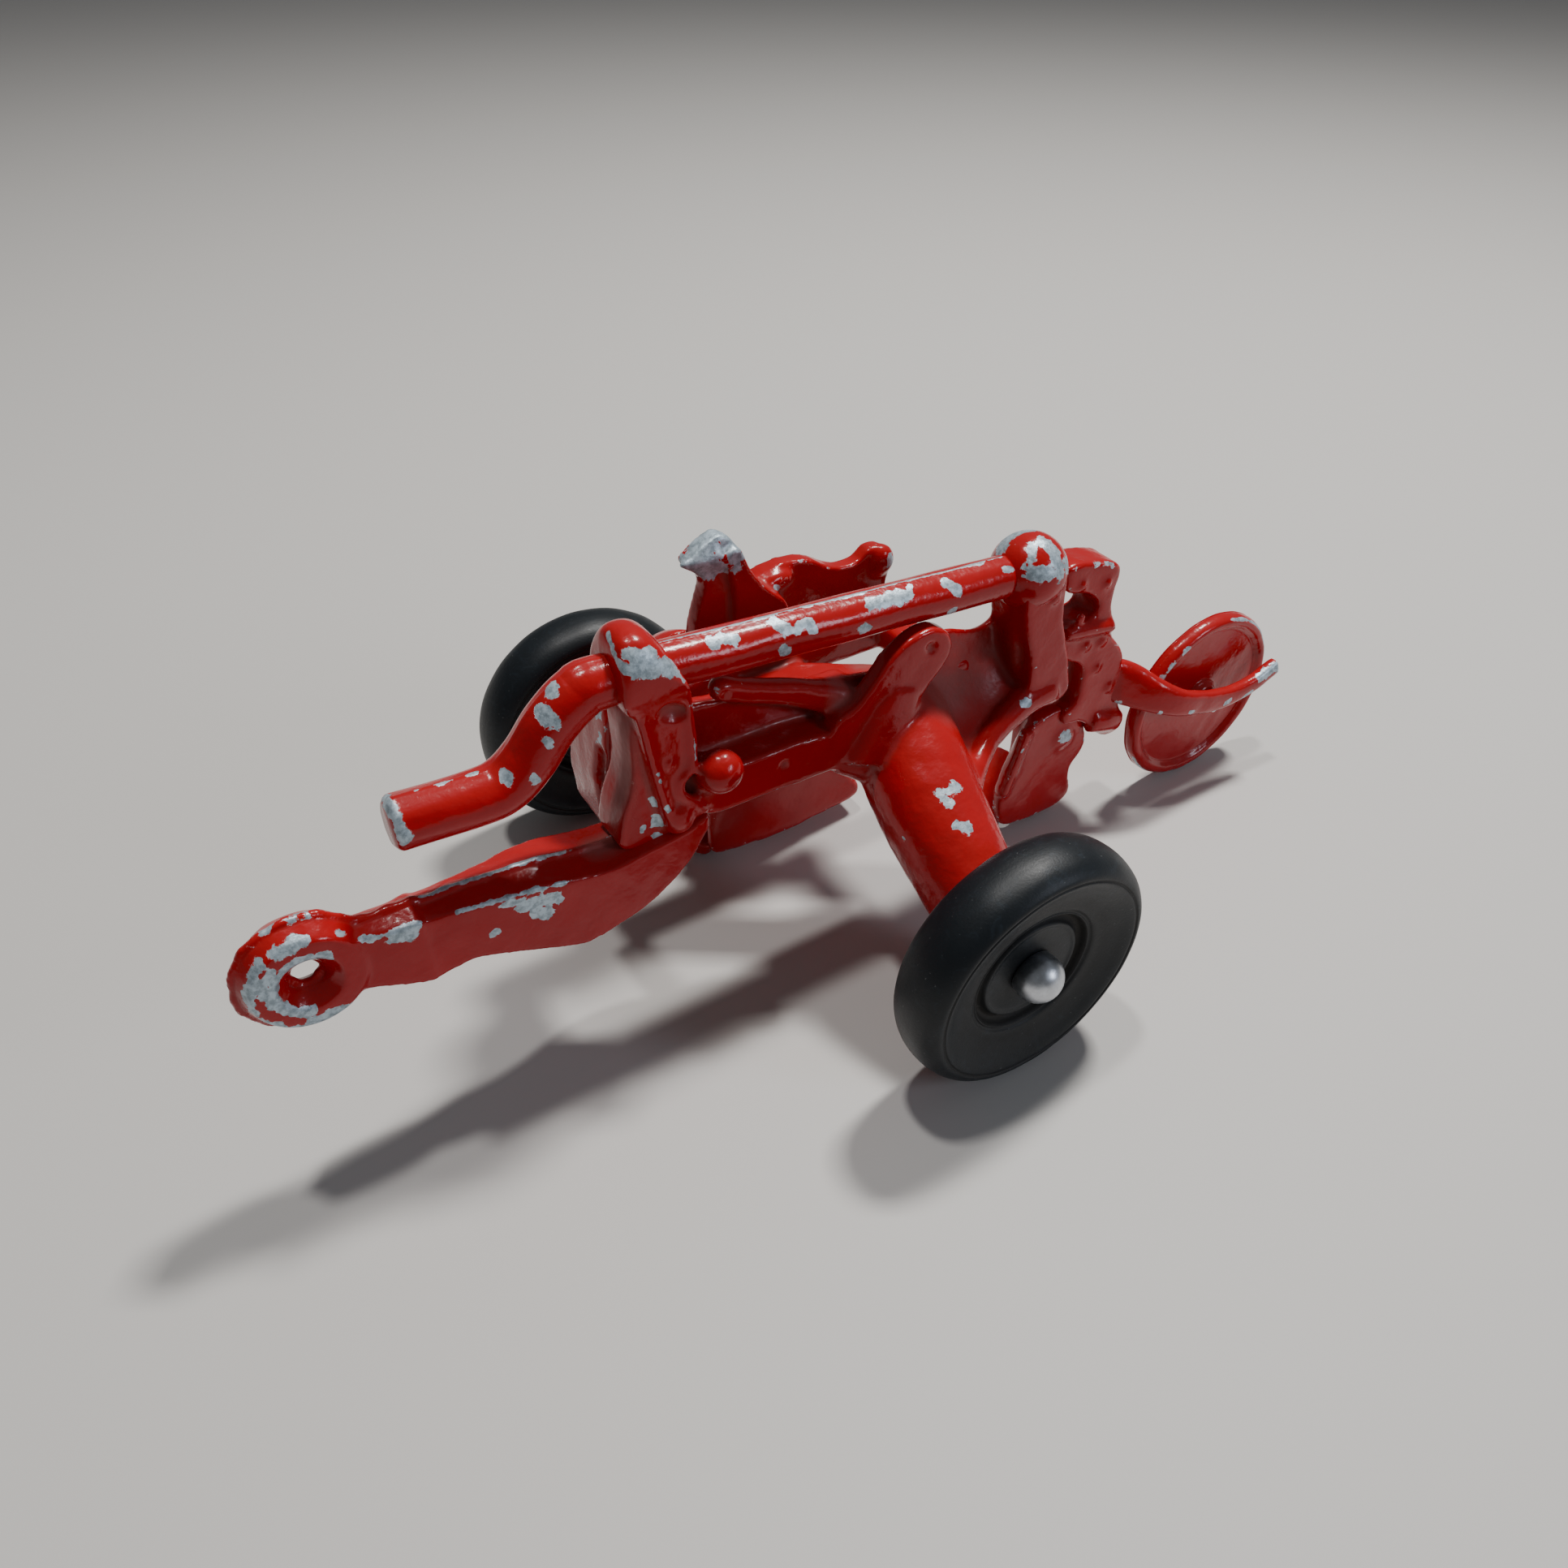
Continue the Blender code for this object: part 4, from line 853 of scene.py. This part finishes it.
LAND_CHIPS = [(32.4, 3.0, 53.4, 29.9, 3.4, 52.7, 0.95), (31.8, 3.7, 52.1, 28.4, 3.9, 51.2, 1.45),
              (28.2, 3.8, 51.2, 26.9, 4.3, 49.2, 0.7), (33.0, 3.4, 52.0, 32.9, -0.5, 54.4, 0.45),
              (-4.6, 8.0, 29.6, -5.0, 8.0, 29.4, 0.2), (26.4, 4.1, 44.0, 26.3, 4.1, 39.0, 0.2),
              (31.0, 2.5, 34.6, 30.8, 2.5, 33.8, 0.65), (30.7, 2.5, 31.6, 30.6, 2.5, 30.9, 0.8),
              (30.9, 2.5, 29.2, 30.7, 2.5, 28.8, 0.7), (32.3, 2.5, 31.0, 32.5, 2.5, 30.6, 0.45),
              (24.6, 3.9, 30.7, 24.2, 3.9, 30.5, 0.6), (30.7, 4.0, 38.6, 30.5, 4.0, 37.4, 0.35),
              (30.0, 4.0, 34.0, 29.9, 4.0, 33.4, 0.4),
              (-20.4, 4.6, 28.6, -20.0, 4.6, 28.8, 0.95), (-21.5, 4.0, 33.0, -21.5, 4.0, 33.2, 0.5),
              (-22.9, 4.4, 43.2, -22.9, 4.4, 43.6, 0.45)]
ARM_CHIPS = [(-0.1, 12.9, 28.7, -2.0, 13.1, 28.9, 0.95), (-0.1, 13.7, 28.4, -0.2, 14.3, 28.1, 0.8),
             (0.3, 16.6, 27.0, -0.6, 17.3, 26.7, 0.95), (5.2, 18.6, 21.0, 5.6, 19.6, 20.0, 0.5),
             (5.0, 12.6, 24.2, 5.2, 13.6, 23.4, 0.45)]
DRAWBAR_CHIPS = [(70.5, 2.3, 33.0, 67.9, 2.3, 33.6, 1.1), (72.4, 2.3, 32.6, 73.8, 2.2, 29.6, 1.1),
                 (74.1, 2.2, 29.6, 74.4, 2.2, 25.8, 0.95), (72.6, 2.3, 29.8, 71.4, 2.3, 31.0, 0.8),
                 (72.6, 2.3, 28.6, 71.6, 2.3, 26.6, 0.8), (74.0, 2.2, 25.4, 72.4, 2.3, 23.2, 1.0),
                 (72.4, 2.0, 22.9, 69.0, 2.1, 21.8, 1.0), (69.4, 2.3, 22.8, 67.0, 2.3, 22.9, 0.95),
                 (66.6, 2.2, 22.6, 62.8, 2.4, 22.6, 0.8), (62.8, 2.4, 22.6, 57.6, 2.6, 21.5, 0.5),
                 (64.2, 2.0, 32.4, 63.4, 2.2, 32.0, 0.8), (62.5, 2.4, 30.6, 61.9, 2.4, 30.4, 0.75),
                 (61.0, 2.5, 30.2, 57.6, 2.6, 30.0, 0.8), (60.1, 2.6, 29.3, 58.0, 2.6, 29.2, 0.9),
                 (74.6, 0.0, 29.5, 70.6, 0.0, 34.2, 0.55), (70.6, 0.0, 34.3, 66.6, 0.0, 34.3, 0.6),
                 (53.4, 2.8, 29.9, 45.0, 3.3, 29.2, 0.45), (44.6, 3.4, 29.0, 41.4, 3.6, 28.6, 0.4),
                 (56.0, 0.0, 31.2, 49.0, 0.0, 30.8, 0.42), (49.0, 0.0, 30.8, 40.7, 0.0, 29.8, 0.42),
                 (48.8, 3.2, 28.6, 46.8, 3.3, 28.4, 0.7), (47.0, 3.3, 27.6, 43.2, 3.5, 27.0, 1.15),
                 (45.6, 3.4, 26.2, 44.6, 3.4, 25.4, 1.2), (50.2, 3.1, 25.4, 50.6, 3.1, 25.2, 0.6)]
REAR_ARM_CHIPS = [(-66.5, 5.9, 16.4, -70.6, 5.9, 17.6, 1.2), (-70.6, 5.0, 16.0, -70.6, 5.0, 15.0, 1.2),
                  (-47.0, 4.4, 17.0, -47.4, 4.4, 17.0, 0.7), (-51.8, 6.0, 15.8, -52.4, 6.0, 15.6, 0.5),
                  (-59.4, 5.9, 14.4, -60.2, 5.9, 14.4, 0.75), (-63.6, 5.9, 13.6, -65.0, 5.9, 14.2, 0.6),
                  (-41.8, 1.0, 18.8, -42.2, 1.0, 18.6, 0.7)]


def ring_marks(centre, radius, y, size, start, end, count=14):
    """A row of marks along a circle about Y, from start to end degrees."""
    a = np.radians(np.linspace(start, end, count + 1))
    points = np.stack([centre[0] + radius * np.cos(a), np.full(count + 1, y),
                       centre[2] + radius * np.sin(a)], axis=1)
    return [(*p, *q, size) for p, q in zip(points[:-1], points[1:])]


# Rows of radius and distance from the wheel's middle: bore, hub, groove, dished wall, tread.
HUB_GROOVE, SHOULDER_CREASE = 7.3, 13.7
WHEEL_FACE = [(1.62, 1.9), (3.0, 1.85), (4.0, 1.75), (5.6, 1.7), (6.2, 1.85), (6.5, 1.8), (6.8, 1.35),
              (7.2, 1.1), (7.6, 1.35), (7.85, 1.9), (8.05, 2.15), (8.25, 2.05), (8.45, 2.15),
              (8.8, 2.4), (10.0, 2.65), (11.6, 3.2), (12.8, 3.75), (13.4, 3.95), (13.6, 3.84),
              (13.75, 3.84), (13.95, 3.98), (14.4, 3.85), (15.0, 3.3), (15.5, 2.5), (15.85, 1.4),
              (15.98, 0.4)]
PIN_HEAD, PIN_SHANK, PIN_END = 2.95, 1.4, -9.8
DISC_PROFILE = [(1.15, 1.9), (2.2, 1.85), (2.9, 1.1), (3.6, 0.6), (7.0, 0.45), (10.6, 0.5),
                (11.3, 0.75), (11.9, 1.25), (12.5, 1.4), (13.0, 1.15), (13.3, 0.6), (13.4, 0.0),
                (13.3, -0.4), (12.8, -0.7), (7.0, -0.7), (3.8, -0.75), (2.9, -1.2),
                (2.3, -1.95), (1.15, -2.0)]
# Angles in degrees of four small pale spots on the upper front of the disc's rim, coloured like bare
# metal.
DISC_RIM_SPOTS = (28.0, 36.0, 45.0, 58.0)


def turned_wheel(name, profile, axle, segments, height, size, seed):
    """A ring turned about its axle, left uneven by height.  Gives the mesh and its points."""
    mesh = closed_mesh(name, *turned(profile, axle, segments, ring=True))
    points = read_points(mesh)
    points = points + read_normals(mesh) * (height * unevenness(points, size, seed))[:, None]
    move_points(mesh, points)
    return mesh, points


def wheel_piece(name, axle):
    """Moulded rubber wheel: dished face, double groove, a crease where the tread's shoulder
    starts, and a round tread.  Dust falls off as exp(-d^2) from its grooves and flats."""
    face = smooth_path(WHEEL_FACE, 120)
    profile = np.vstack([face, face[::-1] * (1.0, -1.0)])
    mesh, points = turned_wheel(name, profile, axle, 160, 0.03, 5.0, 3)
    away = np.hypot(points[:, 0] - axle[0], points[:, 2] - axle[2])
    dust = sum(amount * np.exp(-((away - middle) / width) ** 2) for amount, middle, width in (
        (1.0, HUB_GROOVE, 0.7), (0.6, SHOULDER_CREASE, 0.2), (0.35, 9.6, 1.6), (0.3, 3.0, 1.2)))
    write_field(mesh, "dusty", dust)
    return finish_piece(name, mesh, name, [name], RUBBER)


def pin_piece(name, axle, outward):
    """Domed pin head (2.95 sin a, 3.1 + 2.75 cos a) standing on the hub face, with its shank
    running into the arm."""
    a = np.linspace(0.0, np.pi / 2.0, 16)
    dome = np.stack([PIN_HEAD * np.sin(a), 3.1 + 2.75 * np.cos(a)], axis=1)
    shank = np.array([(2.85, 2.0), (2.6, 1.93), (PIN_SHANK, 1.93), (PIN_SHANK, PIN_END),
                      (0.0, PIN_END)])
    profile = np.vstack([dome, shank]) * (1.0, outward)
    mesh = closed_mesh(name, *turned(profile, axle, segments=64))
    return finish_piece(name, mesh, "frame", [name], PIN_STEEL)


def rear_wheel_piece():
    """Cast disc: a faintly dished face inside a rolled rim, bevelled back to its full size."""
    mesh, points = turned_wheel("rear_disc_wheel", smooth_path(DISC_PROFILE, 220), REAR_AXLE,
                                144, 0.05, 4.0, 12)
    y = REAR_AXLE[1]
    chips = (ring_marks(REAR_AXLE, 13.0, y + 1.1, 0.32, 100.0, 215.0)
             + ring_marks(REAR_AXLE, 13.2, y + 0.6, 0.3, 215.0, 330.0))
    # four small pale spots on the rim's upper front, coloured like bare metal
    for angle in DISC_RIM_SPOTS:
        chips += ring_marks(REAR_AXLE, 12.4, y + 1.4, 0.75, angle, angle + 1.5, 1)
    paint_fields(mesh, points, chips, [], 0.3)
    return finish_piece("rear_disc_wheel", mesh, "rear_wheel", ["rear_wheel"], ENAMEL)


# ---------------------------------------------------------------- making the pieces

LAND_SINKS = [(15.0, 3.4, 32.8, 15.0, 3.4, 32.8, 1.0, 0.35),
              (-4.4, 4.0, 41.9, -4.6, 4.0, 41.6, 1.1, 0.5),
              (20.9, 1.1, 43.1, 20.9, 1.1, 43.1, 1.0, 0.3),
              (28.9, 3.6, 45.6, 28.0, 3.6, 45.2, 1.6, 0.9)]
FURROW_SINKS = [(34.0, -4.6, 37.0, 34.0, -5.2, 33.0, 1.5, 1.3),
                (34.2, -5.2, 33.0, 34.2, -5.0, 26.0, 1.2, 0.9)]
LAND_DUST = [(-8.0, 2.0, 33.0, -16.0, 1.0, 33.0, 5.5), (3.0, 1.0, 36.5, 6.5, 0.2, 37.0, 2.6),
             (33.0, 1.0, 44.0, 33.4, 0.5, 30.0, 2.2), (26.8, 2.4, 38.5, 26.8, 2.4, 34.0, 1.4),
             (24.0, 1.0, 41.0, 12.0, 0.0, 38.0, 1.2)]
FURROW_DUST = [(33.8, -3.8, 36.0, 33.8, -3.8, 27.0, 1.2), (-4.0, -8.3, 33.4, -4.0, -8.3, 33.4, 3.0)]
LAND_NODES = ["front_post", "front_post_strap", "front_bearing", "rear_post", "axle_hub",
              "land_axle_arm", "lift_lever", "finger_lever", "land_beam", "clevis_stud",
              "frame_web", "arched_rib"]
FURROW_NODES = ["furrow_beam", "front_cross_plate", "diagonal_brace", "rear_brace", "furrow_hub",
                "furrow_axle_arm", "broken_lever", "furrow_lever_web", "front_standard"]
FURROW_CHIPS = [(16.4, -14.4, 50.0, 11.8, -15.6, 52.2, 2.6),
                (15.8, -14.4, 49.0, 10.8, -14.8, 48.8, 1.6),
                (12.0, -13.6, 51.6, 10.6, -14.4, 49.6, 1.6), (33.4, -4.6, 42.6, 33.2, -5.6, 41.4, 0.9),
                (-13.0, -15.8, 41.6, -13.4, -15.9, 40.8, 0.9),
                (4.6, -15.4, 43.0, 3.6, -15.4, 42.6, 0.5),
                (34.0, -4.4, 39.4, 34.0, -4.9, 37.6, 1.1), (34.2, -4.2, 32.0, 34.2, -4.4, 27.6, 0.5)]
STANDARD_CHIPS = [(-32.8, 0.8, 42.9, -35.6, 0.8, 42.2, 1.0), (-33.4, 0.4, 15.4, -33.8, 0.4, 15.0, 1.0)]
REAR_EDGE = [(-26.4, -0.6, 18.6, 1.0, 1.0), (-25.0, -0.5, 14.0, 0.9, 0.9), (-23.4, -0.6, 8.4, 0.9, 0.9)]
BALL_RADIUS = 4.75

cast_piece("drawbar_and_eye", [faceted_bar(DRAWBAR, 1.1), turned(EYE_RING, EYE, ring=True)],
           ["drawbar"], grain=0.24, rounds=3, flash=0.42,
           chips=DRAWBAR_CHIPS + ring_marks(EYE, 3.45, 2.3, 0.75, -80.0, 130.0),
           dusty=[(34.5, 0.0, 29.0, 37.0, 0.0, 28.8, 2.5)])
cast_piece("land_casting", land_casting_shapes(), LAND_NODES, grain=0.29, rounds=11,
           chips=LAND_CHIPS + ARM_CHIPS, dusty=LAND_DUST, sinks=LAND_SINKS)
cast_piece("furrow_casting", furrow_casting_shapes(), FURROW_NODES, grain=0.33, rounds=5,
           chips=FURROW_CHIPS, dusty=FURROW_DUST, sinks=FURROW_SINKS)
cast_piece("front_bottom", bottom_shapes(FRONT_LANDSIDE, FRONT_STEP),
           ["front_landside", "front_share", "front_mouldboard"], grain=0.4, rounds=7)
cast_piece("rear_standard", rear_standard_shapes(), ["rear_standard"], grain=0.34, rounds=7,
           chips=STANDARD_CHIPS)
cast_piece("rear_bottom", bottom_shapes(REAR_LANDSIDE, (0.0, 0.0))
           + [bar(REAR_EDGE), ball((-33.4, -0.6, 14.6), (2.0, 0.9, 2.2))],
           ["rear_landside", "rear_share", "rear_mouldboard"], grain=0.36, rounds=7,
           chips=[(-33.2, 0.2, 15.2, -33.6, 0.2, 15.0, 1.2)])
cast_piece("rear_wheel_arm", [bar(REAR_ARM, power=3.0, step=0.4)], ["rear_wheel_arm"],
           grain=0.24, rounds=6, chips=REAR_ARM_CHIPS)

for name, shape, chips, edge_wear in (
        ("crank_rod", crank_surface(), ROD_CHIPS, 0.25),
        ("crank_ball", ball(ROD_BACK, (BALL_RADIUS,) * 3), BALL_CHIPS, 0.0)):
    mesh = closed_mesh(name, *shape)
    paint_fields(mesh, read_points(mesh), chips, [], edge_wear)
    finish_piece(name, mesh, "crank", [name], ENAMEL)

for side, axle, outward in (("land", LAND_AXLE, 1.0), ("furrow", FURROW_AXLE, -1.0)):
    wheel_piece(side + "_wheel", axle)
    pin_piece(side + "_axle_pin", axle, outward)
rear_wheel_piece()
rear_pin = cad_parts["rear_axle_pin"].data
rear_pin.materials.clear()
rear_pin.materials.append(PIN_STEEL)


# ---------------------------------------------------------------- floor, light and camera

FLOOR_HALF = 3.0
FLOOR_COLOUR, WORLD_COLOUR = (0.52, 0.505, 0.485, 1), (0.80, 0.82, 0.85, 1)
WORLD_STRENGTH = 0.16
VIEW_RIGHT = np.array([-0.847, 0.531, 0.0])
VIEW_OUT = np.array([-0.531, -0.847, 0.0])
CAMERA_PLACE = (69.9, 90.8, 115.6)
CAMERA_PITCH, CAMERA_LENS = 39.62, 27.17
LIGHT_AIM = np.array([0.0, 0.0, 0.03])


def make_stage():
    corners = [(x * FLOOR_HALF, y * FLOOR_HALF, 0.0) for x, y in ((-1, -1), (1, -1), (1, 1), (-1, 1))]
    mesh = bpy.data.meshes.new("floor")
    mesh.from_pydata(corners, [], [(0, 1, 2, 3)])
    floor = bpy.data.objects.new("floor", mesh)
    bpy.context.scene.collection.objects.link(floor)
    material, _, shader = new_material("pale_floor")
    shader.inputs["Base Color"].default_value = FLOOR_COLOUR
    shader.inputs["Roughness"].default_value = 0.6
    mesh.materials.append(material)


def aim(thing, eye, right, ahead):
    """Turns a camera or light to look along ahead with right to its right."""
    ahead = ahead / np.linalg.norm(ahead)
    right = right - ahead * (right @ ahead)
    right = right / np.linalg.norm(right)
    up = np.cross(right, ahead)
    matrix = np.eye(4)
    matrix[:3, 0], matrix[:3, 1], matrix[:3, 2], matrix[:3, 3] = right, up, -ahead, eye
    thing.matrix_world = Matrix(matrix.tolist())


def make_light(name, place_m, size, power, colour):
    """A soft panel: place_m is how far it stands to the right, outwards and up, in metres."""
    data = bpy.data.lights.new(name, "AREA")
    data.shape = "RECTANGLE"
    data.size, data.size_y = size
    data.energy = power
    data.color = colour
    light = bpy.data.objects.new(name, data)
    bpy.context.scene.collection.objects.link(light)
    eye = VIEW_RIGHT * place_m[0] + VIEW_OUT * place_m[1] + UP * place_m[2]
    aim(light, eye, VIEW_RIGHT, LIGHT_AIM - eye)


def make_world():
    world = bpy.data.worlds.new("studio")
    bpy.context.scene.world = world
    world.use_nodes = True
    background = world.node_tree.nodes["Background"].inputs
    background["Color"].default_value = WORLD_COLOUR
    background["Strength"].default_value = WORLD_STRENGTH


def make_camera():
    data = bpy.data.cameras.new("camera")
    data.lens = CAMERA_LENS
    data.sensor_width = 36.0
    data.clip_start = 0.005
    camera = bpy.data.objects.new("camera", data)
    bpy.context.scene.collection.objects.link(camera)
    pitch = np.radians(CAMERA_PITCH)
    aim(camera, place(CAMERA_PLACE), VIEW_RIGHT, VIEW_OUT * np.cos(pitch) - UP * np.sin(pitch))
    bpy.context.scene.camera = camera


make_stage()
make_light("ceiling_panel", (0.20, 0.24, 0.62), (0.10, 0.06), 5.0, (1.0, 0.98, 0.95))
make_light("ceiling_lamp", (-0.10, 0.05, 0.75), (0.05, 0.05), 2.2, (1.0, 0.98, 0.96))
make_light("window", (0.55, -0.25, 0.30), (0.10, 0.18), 0.9, (0.80, 0.86, 1.0))
make_world()
make_camera()
